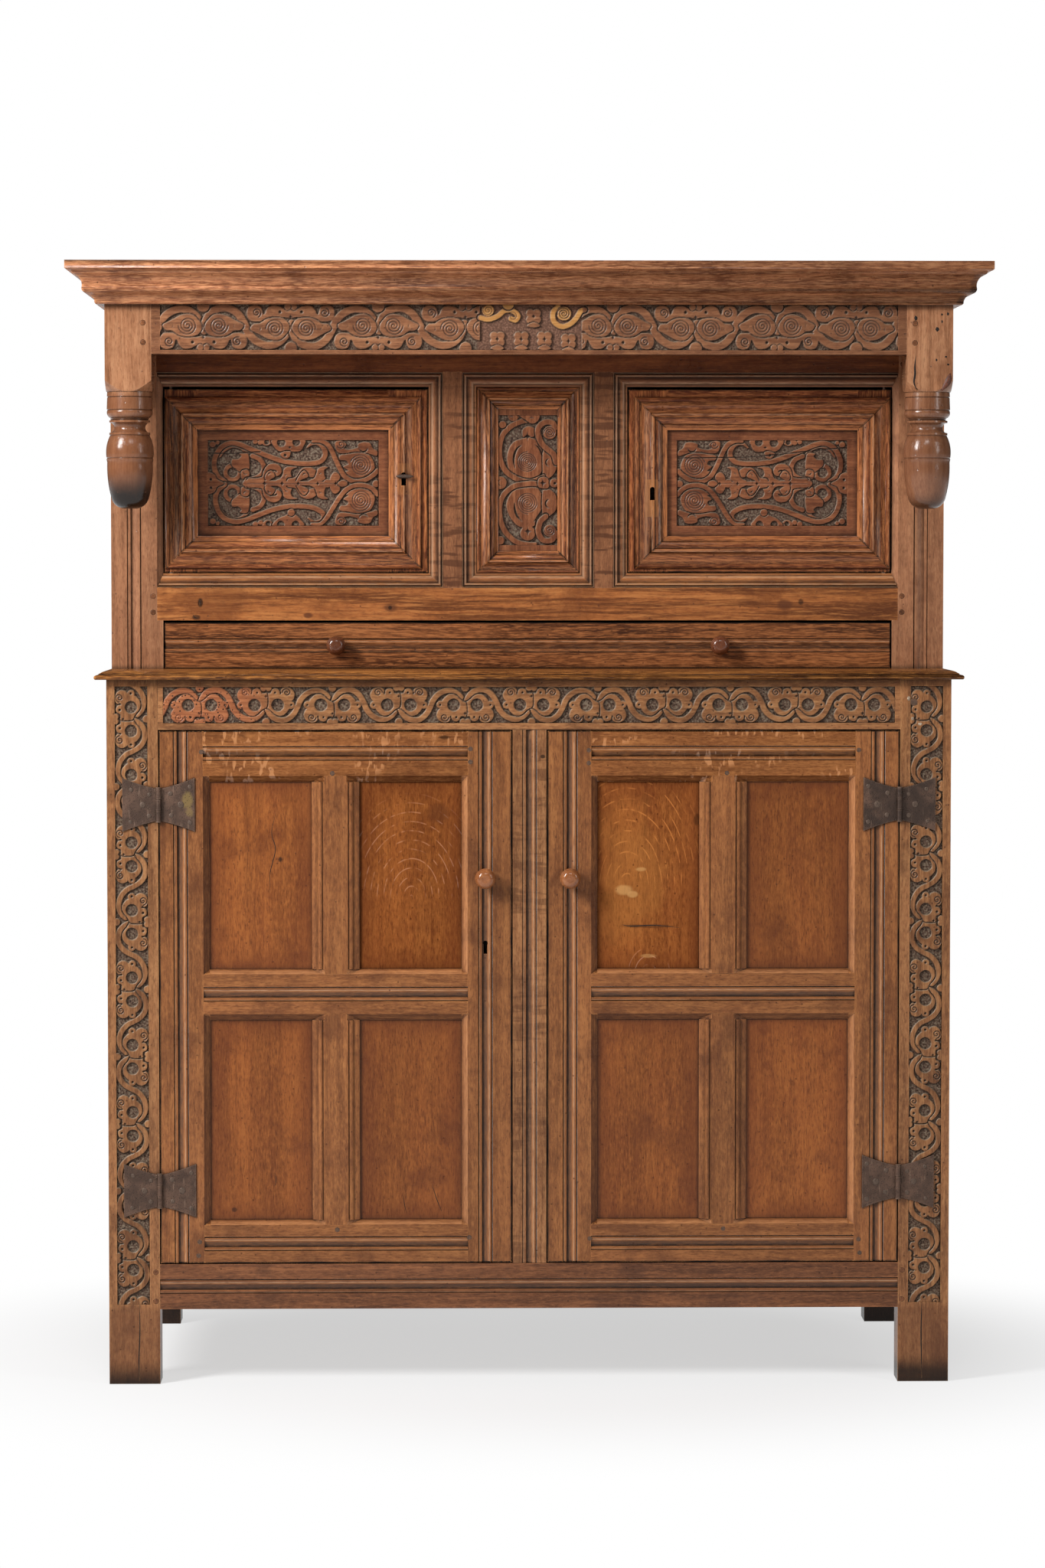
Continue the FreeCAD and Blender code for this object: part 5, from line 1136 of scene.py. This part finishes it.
class Drawing:
    """Turns places on a drawing, measured right and down, into millimetres about a field's middle."""

    def __init__(self, carving, middle, scale, mirrored=False):
        self.c = carving
        self.middle = middle
        self.scale = scale
        self.hand = -1 if mirrored else 1
        self.up = 1

    def at(self, x, y, *more):
        right, down = x - self.middle[0], y - self.middle[1]
        return (self.hand * right / self.scale, -self.up * down / self.scale, *(m / self.scale for m in more))

    def turned(self, degrees):
        """An angle on the drawing as one on the field."""
        angle = math.radians(degrees)
        return math.atan2(math.sin(angle) * self.up, math.cos(angle) * self.hand)

    def strap(self, width, *points, gap=1.0):
        self.c.band([self.at(*p) for p in points], width, gap)

    def leaf(self, *points, gap=0.8):
        self.c.leaf([self.at(*p) for p in points], gap)

    def disc(self, x, y, radius, gap=0.0):
        self.c.disc(*self.at(x, y, radius), gap)

    def hole(self, x, y, radius):
        self.c.hole(*self.at(x, y, radius))

    def star(self, x, y, radius):
        self.c.star(*self.at(x, y, radius))

    def moon(self, x, y, radius, facing, thin=0.5):
        self.c.moon(*self.at(x, y, radius), self.turned(facing) + math.pi, thin)

    def slit(self, width, *points):
        self.c.slit([self.at(*p) for p in points], width)

    def groove(self, *points):
        self.c.groove([self.at(*p) for p in points], 1.2, 0.8)

    def coil(self, x, y, radius, turns, start, hand, width=1.5, depth=1.2):
        way = hand * self.hand * self.up
        self.c.coil(*self.at(x, y, radius), turns, self.turned(start), way, width, depth)


def draw_upper_door(d):
    """Loops with eyes at one end, snails at the other, and a leafy stem between two long straps."""
    for lower in (False, True):
        d.up = -1 if lower else 1
        d.leaf((1165, 205), (1215, 188), (1290, 176), (1355, 174), (1425, 205), (1462, 290), (1438, 372),
               (1375, 405), (1290, 402), (1235, 366), (1210, 338), (1240, 328), (1200, 296), (1236, 276),
               (1225, 245), (1172, 238))
        d.coil(1345, 285, 92, 4.0, 160, -1, 1.6, 1.3)
        d.leaf((1128, 92), (1180, 78), (1222, 108), (1200, 140), (1250, 150), (1318, 132), (1322, 104),
               (1370, 88), (1422, 96), (1446, 140), (1484, 164), (1480, 202), (1430, 190), (1370, 172),
               (1300, 168), (1200, 182), (1146, 166))
        d.coil(1180, 108, 36, 1.5, 200, 1, 1.5, 1.6)
        d.moon(1368, 140, 38, 90, 0.45)
        d.disc(90, 108, 24)
        d.disc(132, 92, 16)
        d.disc(258, 345, 76)
        d.strap(4.6, (150, 205), (190, 155), (265, 122), (335, 138), (385, 186))
        d.leaf((255, 285), (258, 236), (306, 232), (334, 206), (322, 184), (384, 183), (400, 250), (398, 318),
               (360, 322), (324, 340))
        d.leaf((335, 335), (385, 322), (402, 366), (372, 392), (336, 392))
        d.moon(368, 345, 20, 60)
        d.strap(6.6, (428, 206), (492, 236), (524, 300), (506, 358), (452, 394), (380, 410))
        d.groove((440, 232), (478, 262), (492, 306), (470, 346), (425, 372), (390, 380))
        d.strap(7.0, (400, 414), (480, 412), (528, 392), (548, 340, 26), (580, 300, 26), (632, 300, 24),
                (656, 335, 18), (636, 360, 14), (614, 344, 8))
        d.leaf((556, 414), (600, 392), (618, 372), (586, 330), (548, 350), (534, 392))
        d.moon(574, 366, 19, 300)
        d.leaf((622, 418), (668, 392), (688, 352), (694, 318), (730, 296), (806, 300), (764, 316), (750, 352),
               (760, 392), (726, 418))
        d.moon(716, 376, 17, 300)
        d.strap(6.0, (740, 414), (800, 402), (832, 362), (858, 326), (906, 316), (950, 338), (946, 366),
                (916, 362), (908, 346))
        d.leaf((800, 420), (846, 404), (900, 376), (868, 330), (832, 356))
        d.moon(868, 368, 18, 300)
        d.leaf((905, 418), (952, 392), (972, 346), (984, 314), (1022, 296), (1066, 300), (1036, 322),
               (1036, 366), (1044, 396), (1004, 418))
        d.moon(1004, 362, 15, 300)
        d.leaf((1084, 400), (1104, 356), (1134, 342), (1166, 372), (1162, 404), (1136, 428), (1100, 430))
        d.hole(258, 345, 44)
    d.up = 1
    d.strap(7.0, (192, 424), (134, 378), (104, 300), (112, 216), (164, 132), (244, 96), (322, 108),
            (404, 142), (502, 182), (602, 222), (702, 252), (822, 268), (930, 268), (1006, 250), (1044, 194),
            (1028, 132), (984, 100, 15), (934, 100, 12), (892, 134, 5))
    d.strap(6.4, (940, 82, 10), (1000, 80, 14), (1056, 102), (1094, 150), (1128, 226), (1168, 312),
            (1216, 384), (1290, 420), (1380, 408), (1448, 368), (1486, 330))
    d.strap(7.0, (192, 446), (130, 500), (112, 584), (142, 680), (202, 740), (292, 762), (380, 744),
            (480, 704), (600, 660), (722, 634), (850, 630), (950, 646), (1022, 690), (1018, 744, 16),
            (956, 766, 13), (900, 732, 5))
    d.strap(6.4, (930, 782, 10), (1006, 778, 14), (1060, 722), (1110, 642), (1160, 562), (1220, 492),
            (1290, 456), (1372, 454), (1440, 480), (1488, 530))
    d.strap(7.4, (372, 437, 26), (520, 437, 24), (700, 437, 20), (900, 437, 16), (1110, 437, 12), gap=0.0)
    d.groove((384, 437), (700, 438), (1110, 437))
    d.disc(1062, 437, 34)
    d.disc(1130, 437, 30)
    d.leaf((1150, 437), (1182, 412), (1224, 422), (1228, 452), (1182, 464))
    for x, radius in ((530, 34), (678, 30), (815, 27), (980, 25), (1132, 27)):
        d.star(x, 438, radius)
    d.disc(546, 72, 46)
    d.hole(550, 88, 23)
    d.disc(452, 84, 20)
    d.disc(494, 92, 19)
    d.leaf((606, 66), (614, 128), (656, 164), (740, 166), (828, 164), (860, 122), (858, 66))
    d.hole(672, 92, 37)
    d.hole(800, 88, 34)
    d.star(745, 132, 18)
    d.leaf((664, 190), (692, 170), (748, 170), (738, 214), (700, 226))
    d.hole(704, 199, 13)
    d.disc(556, 794, 46)
    d.hole(560, 778, 22)
    d.disc(450, 782, 22)
    d.disc(494, 768, 20)
    d.leaf((606, 800), (636, 742), (700, 712), (728, 700), (782, 700), (832, 742), (850, 800))
    d.hole(666, 786, 33)
    d.hole(792, 786, 33)
    d.disc(755, 684, 29, gap=0.6)
    d.leaf((36, 356), (98, 358), (126, 402), (184, 437), (128, 466), (102, 512), (36, 516))
    d.hole(74, 404, 12)
    d.hole(76, 474, 12)
    d.disc(1474, 440, 28)


def draw_centre(d):
    """Two snails in C straps, with volutes at the right."""
    d.leaf((300, 412), (362, 400), (428, 412), (480, 470), (512, 560), (520, 640), (490, 742), (420, 800),
           (340, 812), (250, 778), (190, 712), (164, 610), (184, 500), (236, 436))
    d.slit(4.0, (304, 470), (262, 505), (236, 560), (228, 632), (240, 690))
    d.slit(3.4, (432, 462), (478, 505), (506, 570), (512, 640))
    d.disc(362, 638, 112)
    d.coil(362, 635, 100, 5.0, 90, 1, 1.5, 1.2)
    d.leaf((322, 392), (316, 322), (362, 290), (410, 296), (446, 336), (446, 372), (404, 392), (362, 372))
    d.star(362, 385, 46)
    d.leaf((520, 520), (580, 520), (632, 566), (648, 640), (636, 720), (590, 780), (530, 800), (512, 700))
    d.moon(574, 640, 40, 0, 0.42)
    d.leaf((356, 862), (440, 872), (500, 950), (516, 1040), (490, 1130), (440, 1200), (420, 1260),
           (300, 1270), (222, 1210), (168, 1110), (166, 1010), (220, 920), (290, 880))
    d.slit(4.0, (236, 1030), (240, 1100), (262, 1160), (306, 1212))
    d.slit(3.4, (512, 1070), (496, 1120), (462, 1170), (424, 1218))
    d.disc(366, 1035, 116)
    d.coil(366, 1035, 105, 4.6, 270, -1, 1.5, 1.2)
    d.leaf((520, 890), (570, 900), (626, 940), (650, 1020), (640, 1100), (590, 1150), (530, 1180),
           (505, 1060))
    d.moon(574, 1040, 44, 0, 0.42)
    d.disc(366, 1328, 72)
    d.star(366, 1310, 48)
    d.strap(7.8, (640, 300, 22), (604, 254), (534, 248), (476, 292), (464, 356), (498, 450), (556, 510),
            (618, 562), (644, 640))
    d.disc(580, 350, 62)
    d.coil(580, 350, 56, 2.6, 180, -1, 1.5, 1.3)
    d.strap(7.8, (540, 1166), (486, 1220), (470, 1320), (516, 1396), (598, 1394), (648, 1330))
    d.disc(582, 1304, 58)
    d.coil(582, 1304, 50, 2.2, 180, 1, 1.5, 1.3)
    d.strap(7.4, (440, 206, 14), (370, 226), (300, 242), (200, 290), (124, 370), (92, 480), (96, 600),
            (134, 700), (204, 770), (304, 816), (400, 828), (482, 800), (520, 770, 12))
    d.strap(7.4, (520, 884, 12), (440, 846), (330, 850), (230, 872), (142, 940), (98, 1030), (92, 1150),
            (122, 1270), (182, 1356), (262, 1416), (360, 1440), (440, 1432, 14))
    d.disc(225, 186, 52)
    d.moon(205, 205, 20, 270)
    d.leaf((270, 160), (470, 160), (464, 232), (410, 262), (350, 230))
    d.moon(402, 216, 20, 270)
    d.disc(120, 272, 34, gap=0.8)
    d.disc(96, 838, 62)
    d.moon(100, 838, 32, 0, 0.5)
    d.disc(96, 1400, 40)
    d.leaf((470, 800), (520, 780), (560, 800), (580, 840), (560, 890), (510, 890), (470, 872))
    d.star(512, 840, 44)
    d.disc(624, 840, 42, gap=0.6)
    d.hole(630, 842, 15)


# The split across each upper door's carved panel, and the seed of its grain
SPLITS = {
    "left": (((-145, 45), (-95, 44), (-48, 46)), 7.3),
    "right": (((-150, 37), (-60, 38), (-6, 40), (73, 48), (135, 54)), 6.1),
}


def carve_panels():
    c = Carving(CENTRE, 0.62, 41, 0.6)
    draw_centre(Drawing(c, (366.0, 812.0), 6.54))
    board = oak("centre_carving_oak", TONES["upper_panel"], "z", 5.9, carved=True)
    c.finish("centre_panel_carving", board, DOOR_GROUND)
    for side, x in (("left", -UPPER_DOOR["x"]), ("right", UPPER_DOOR["x"])):
        split, grain_seed = SPLITS[side]
        c = Carving(dict(UPPER_DOOR, x=x), 0.66, 51 + (x > 0), 0.6)
        draw_upper_door(Drawing(c, (767.0, 433.0), 5.69, mirrored=x > 0))
        c.groove(split, 1.7, 2.6)
        board = oak(f"upper_{side}_carving_oak", TONES["upper_panel"], "x", grain_seed, carved=True)
        c.finish(f"upper_{side}_door_carving", board, DOOR_GROUND, f"upper_{side}_door", "oak_upper_doors")


carve_frieze()
carve_stile("left", -STILE["x"], 1.1)
carve_stile("right", STILE["x"], 3.3)
carve_canopy()
carve_panels()


# Small things that the solids don't have: pegs of the doors, nails, cracks, fillings

SLIVER_PROUD = 0.08
SLIVER_DEPTH = 0.9
PEG_LENGTH = 6.0


class Bits:
    """Small shapes that are gathered into one piece, in millimetres."""

    def __init__(self):
        self.bm = bmesh.new()

    def stud(self, x, y, z, wide, proud, high=None):
        """A domed head, half of it sunk in."""
        made = bmesh.ops.create_uvsphere(self.bm, u_segments=12, v_segments=8, radius=1.0)["verts"]
        bmesh.ops.scale(self.bm, vec=(wide, proud, high or wide), verts=made)
        bmesh.ops.translate(self.bm, verts=made, vec=(x, y, z))

    def peg(self, x, y, z, radius, proud, turn=0.0):
        """The end of a round peg that was cut with a knife."""
        made = bmesh.ops.create_cone(self.bm, cap_ends=True, segments=9, radius1=radius * 1.02,
                                     radius2=radius * 0.9, depth=PEG_LENGTH)["verts"]
        for angle, axis in ((turn, "Z"), (math.pi / 2, "X")):
            bmesh.ops.rotate(self.bm, verts=made, matrix=Matrix.Rotation(angle, 3, axis))
        bmesh.ops.translate(self.bm, verts=made, vec=(x, y - proud + PEG_LENGTH / 2, z))

    def crack(self, y, width, *points):
        """A thin dark sliver along a line on the front, widest at its middle."""
        line = smooth_line(points, steps=5)
        count = len(line) - 1
        made = bmesh.ops.create_grid(self.bm, x_segments=count, y_segments=1, size=0.5)["verts"]
        step = np.gradient(line, axis=0)
        side = np.column_stack([-step[:, 1], step[:, 0]]) / np.hypot(step[:, 0], step[:, 1])[:, None]
        for v in made:
            i = round((v.co.x + 0.5) * count)
            half = width / 2 * (0.12 + math.sin(math.pi * i / count)) * (1 if v.co.y > 0 else -1)
            v.co = (line[i, 0] + side[i, 0] * half, y - SLIVER_PROUD, line[i, 1] + side[i, 1] * half)
        faces = list({face for v in made for face in v.link_faces})
        grown = bmesh.ops.extrude_face_region(self.bm, geom=faces)["geom"]
        deep = [v for v in grown if isinstance(v, bmesh.types.BMVert)]
        bmesh.ops.translate(self.bm, verts=deep, vec=(0.0, SLIVER_DEPTH, 0.0))

    def done(self, name, material, *owner):
        bmesh.ops.recalc_face_normals(self.bm, faces=self.bm.faces)
        bmesh.ops.scale(self.bm, vec=(MM, MM, MM), verts=self.bm.verts)
        mesh = bpy.data.meshes.new(name)
        self.bm.to_mesh(mesh)
        self.bm.free()
        add_piece(name, mesh, material, *owner)


def plain(name, colour, roughness):
    f = Finish(name)
    cloud = f.noise(f.moved(500.0), 3.0, 0.6)
    f.colour = f.mix(cloud.fade(0.35, 0.65), tone(colour, 0.6), tone(colour, 1.3))
    return f.close(cloud * 0.3 + roughness, cloud, 0.0001)


HINGE_X = 544.2
HINGE_FACE = -252.75
UPPER_HINGE_Z = 856.4
LOWER_HINGE_Z = {"left": 287.1, "right": 298.1}
NAIL_PROUD = 0.9
# Nails of a leaf: distance out from the pin, height over its middle, radius
DOOR_NAILS = ((17.5, 16.5, 3.7), (46.0, 26.5, 3.4), (32.6, 0.0, 5.0), (18.5, -15.6, 3.5), (46.0, -26.0, 3.6))
STILE_NAILS = ((39.7, 22.3, 3.2), (13.4, 15.0, 3.2), (23.0, 0.0, 4.6), (13.7, -16.3, 3.6), (41.2, -25.0, 3.0))


def add_nails():
    heads = iron("nail_iron", (0.050, 0.030, 0.021), (0.13, 0.085, 0.060))
    stile = Bits()
    doors = {"left": Bits(), "right": Bits()}
    for side, way in (("left", 1), ("right", -1)):
        for z in (UPPER_HINGE_Z, LOWER_HINGE_Z[side]):
            for out, up, radius in DOOR_NAILS:
                doors[side].stud(way * (out - HINGE_X), HINGE_FACE, z + up, radius, NAIL_PROUD)
            for out, up, radius in STILE_NAILS:
                stile.stud(-way * (HINGE_X + out), HINGE_FACE, z + up, radius, NAIL_PROUD)
    stile.done("stile_leaf_nails", heads, "cupboard_case", "iron_hinges")
    for side, bits in doors.items():
        bits.done(f"lower_{side}_door_nails", heads, f"lower_{side}_door", "iron_hinges")
    pin = Bits()
    pin.stud(-183.6, UPPER_MOULD_FACE, 1339.0, 13.0, 2.6, 3.0)
    pin.done("upper_left_keyhole_pin", heads, "upper_left_door", "iron_locks")


# Pegs of the lower doors: places, radius, height over the wood and how far the first is turned
DOOR_PEGS = {
    "left": (((-86.9, 938.1), (-86.9, 918.9), (-481.5, 933.9), (-289.5, 902.3), (-486.4, 210.8),
              (-488.0, 190.4), (-88.9, 216.4), (-283.7, 228.4)), 3.9, 0.35, 0),
    "right": (((86.9, 936.0), (86.9, 917.0), (484.0, 936.0), (290.0, 902.3), (486.4, 212.0), (488.0, 192.0),
               (88.9, 214.4), (286.0, 228.4)), 3.7, 0.3, 3),
}
# Places of old fillings in the right stile, with half their width and height
FILLINGS = ((557.2, 1011.8, 2.4, 3.2), (563.0, 982.1, 2.0, 2.4), (574.0, 974.1, 3.2, 2.2))


def add_pegs():
    dark = plain("door_peg_wood", (0.095, 0.048, 0.026), 0.45)
    for side, (places, radius, proud, first_turn) in DOOR_PEGS.items():
        pegs = Bits()
        for number, (x, z) in enumerate(places):
            pegs.peg(x, FRONT, z, radius, proud, number + first_turn)
        pegs.done(f"lower_{side}_door_pegs", dark, f"lower_{side}_door", "oak_lower_doors")
    plug = Bits()
    plug.peg(564.7, FRONT, 1006.4, 5.9, 0.4)
    plug.done("right_stile_plug", dark)
    filling = Bits()
    for x, z, wide, high in FILLINGS:
        filling.stud(x, FRONT, z, wide, 0.4, high)
    pale = plain("filling", (0.40, 0.30, 0.21), 0.6)
    filling.done("right_stile_filling", pale)


# Old nail and worm holes in the right post: place, width and half height
POST_HOLES = ((564.7, 1568.0, 4.2, 3.6), (596.2, 1551.9, 4.8, 3.4), (602.9, 1573.4, 2.6, 1.6),
              (603.2, 1563.0, 2.0, 2.2), (611.8, 1574.2, 3.0, 2.4), (595.3, 1507.2, 2.4, 2.0),
              (608.8, 1511.7, 3.2, 1.2), (612.2, 1500.5, 3.2, 1.2))


def add_cracks():
    # Dark slivers that stand for cracks and holes: painted shade of their depth
    dark = plain("crack_dark", (0.012, 0.008, 0.006), 0.8)
    left = Bits()
    left.crack(PANEL_FACE, 1.1, (-371.6, 848.4), (-379.0, 815.0), (-373.5, 789.8), (-381.5, 755.0),
               (-382.1, 724.5))
    left.crack(PANEL_FACE, 1.0, (-144.2, 295.0), (-137.0, 272.0), (-128.4, 250.7))
    left.crack(PANEL_FACE, 0.9, (-186.0, 280.4), (-185.0, 266.0), (-181.5, 250.8))
    left.crack(PANEL_FACE, 0.9, (-375.5, 311.4), (-374.0, 300.0), (-376.5, 290.0))
    left.done("lower_left_door_cracks", dark, "lower_left_door", "oak_lower_doors")
    right = Bits()
    right.crack(PANEL_FACE, 1.6, (136.0, 678.4), (150.0, 676.0), (186.0, 677.0), (222.0, 673.5))
    right.done("lower_right_door_cracks", dark, "lower_right_door", "oak_lower_doors")
    case = Bits()
    case.crack(FRONT, 1.5, (-575.6, 122.0), (-575.0, 80.0), (-576.5, 40.0), (-576.2, 3.0))
    case.crack(UPPER, 1.3, (-490.0, 1156.0), (-488.0, 1151.0), (-489.0, 1146.0))
    case.crack(UPPER, 1.2, (-499.0, 1134.0), (-496.0, 1129.5), (-491.0, 1128.5))
    case.crack(FRONT, 1.6, (580.7, 118.6), (579.8, 70.0), (581.2, 4.0))
    case.crack(FRONT, 2.6, (565.2, 1513.0), (563.9, 1498.0), (564.3, 1487.0), (562.8, 1474.0),
               (567.5, 1462.5))
    for x, z, wide, high in POST_HOLES:
        case.crack(FRONT, wide, (x - 0.4, z + high), (x + 0.4, z), (x, z - high))
    case.done("cupboard_case_cracks", dark)
    chip = Bits()
    chip.crack(FRONT, 8.5, (615.8, 1488.0), (612.6, 1476.0), (603.5, 1462.0))
    bare = plain("bare_wood", (0.115, 0.030, 0.012), 0.4)
    chip.done("right_post_chip", bare)


add_nails()
add_pegs()
add_cracks()


# Studio: plain pale floor, soft light and the camera

WHITE = (1.0, 1.0, 1.0, 1.0)
FLOOR_GREY = (0.88, 0.88, 0.88, 1.0)
FLOOR_HALF = 14.0
SHADOW_SHARE = 0.40  # how much of the floor's white is kept back near the cupboard
AMBIENT = 0.08
LENS, SENSOR_WIDTH = 99.9, 36.0
CAMERA_PLACE = (-0.1329, -6.6294, 1.21965)
CAMERA_DOWN, CAMERA_ASIDE = 2.99, -1.1
# Place, place that it faces, width and height, watts
LAMPS = {
    "key_light": ((-2.9, -2.3, 2.9), (0.0, -0.1, 0.9), (0.9, 1.6), 188.0),
    "fill_light": ((3.0, -2.5, 2.25), (0.0, -0.1, 0.8), (0.8, 1.9), 26.0),
    "front_light": ((0.1, -4.2, 4.1), (0.0, -0.1, 0.7), (1.6, 0.8), 34.0),
}


def build_floor():
    """A pale floor that the camera sees white, with the shadow left near the cupboard."""
    bm = bmesh.new()
    bmesh.ops.create_grid(bm, x_segments=1, y_segments=1, size=FLOOR_HALF)
    mesh = bpy.data.meshes.new("studio_floor")
    bm.to_mesh(mesh)
    bm.free()
    f = Finish("studio_floor")
    camera_ray = f.node("ShaderNodeLightPath", output="Is Camera Ray")
    glossy_ray = Wire(f, camera_ray.socket.node.outputs["Is Glossy Ray"])
    away = f.length(f.moved((0.8, 1.0, 0.0))).fade(0.40, 0.95)
    seen = camera_ray.maths("MAXIMUM", glossy_ray) * (away * SHADOW_SHARE + (1.0 - SHADOW_SHARE))
    matt = f.node("ShaderNodeBsdfDiffuse", values={"Color": FLOOR_GREY})
    white = f.node("ShaderNodeEmission", values={"Color": WHITE, "Strength": 1.0})
    both = f.node("ShaderNodeMixShader", values={0: seen, 1: matt, 2: white})
    f.node("ShaderNodeOutputMaterial", values={"Surface": both})
    mesh.materials.append(f.material)
    floor = add_object("studio_floor", mesh)


def build_world():
    """White where the camera sees it, and a dim light all round."""
    world = bpy.data.worlds.new("studio")
    world.use_nodes = True
    tree = world.node_tree
    tree.nodes.clear()
    rays = tree.nodes.new("ShaderNodeLightPath")
    seen = tree.nodes.new("ShaderNodeMath")
    seen.operation = "MAXIMUM"
    tree.links.new(rays.outputs["Is Camera Ray"], seen.inputs[0])
    tree.links.new(rays.outputs["Is Transmission Ray"], seen.inputs[1])
    shown = tree.nodes.new("ShaderNodeMath")
    shown.operation = "MULTIPLY_ADD"
    shown.inputs[1].default_value = 1.0 - AMBIENT
    shown.inputs[2].default_value = AMBIENT
    tree.links.new(seen.outputs[0], shown.inputs[0])
    background = tree.nodes.new("ShaderNodeBackground")
    background.inputs["Color"].default_value = WHITE
    tree.links.new(shown.outputs[0], background.inputs["Strength"])
    output = tree.nodes.new("ShaderNodeOutputWorld")
    tree.links.new(background.outputs[0], output.inputs["Surface"])
    bpy.context.scene.world = world


def build_lamps():
    for name, (place, aim, size, power) in LAMPS.items():
        lamp = bpy.data.lights.new(name, "AREA")
        lamp.shape = "RECTANGLE"
        lamp.size, lamp.size_y = size
        lamp.energy = power
        obj = add_object(name, lamp)
        obj.location = place
        obj.rotation_euler = (Vector(aim) - Vector(place)).to_track_quat("-Z", "Y").to_euler()


def build_camera():
    camera = bpy.data.cameras.new("camera")
    camera.sensor_width = SENSOR_WIDTH
    camera.lens = LENS
    obj = add_object("camera", camera)
    obj.location = CAMERA_PLACE
    obj.rotation_euler = (math.radians(90.0 - CAMERA_DOWN), 0.0, math.radians(CAMERA_ASIDE))
    bpy.context.scene.camera = obj


build_floor()
build_world()
build_lamps()
build_camera()
bpy.context.scene.view_settings.view_transform = "Standard"
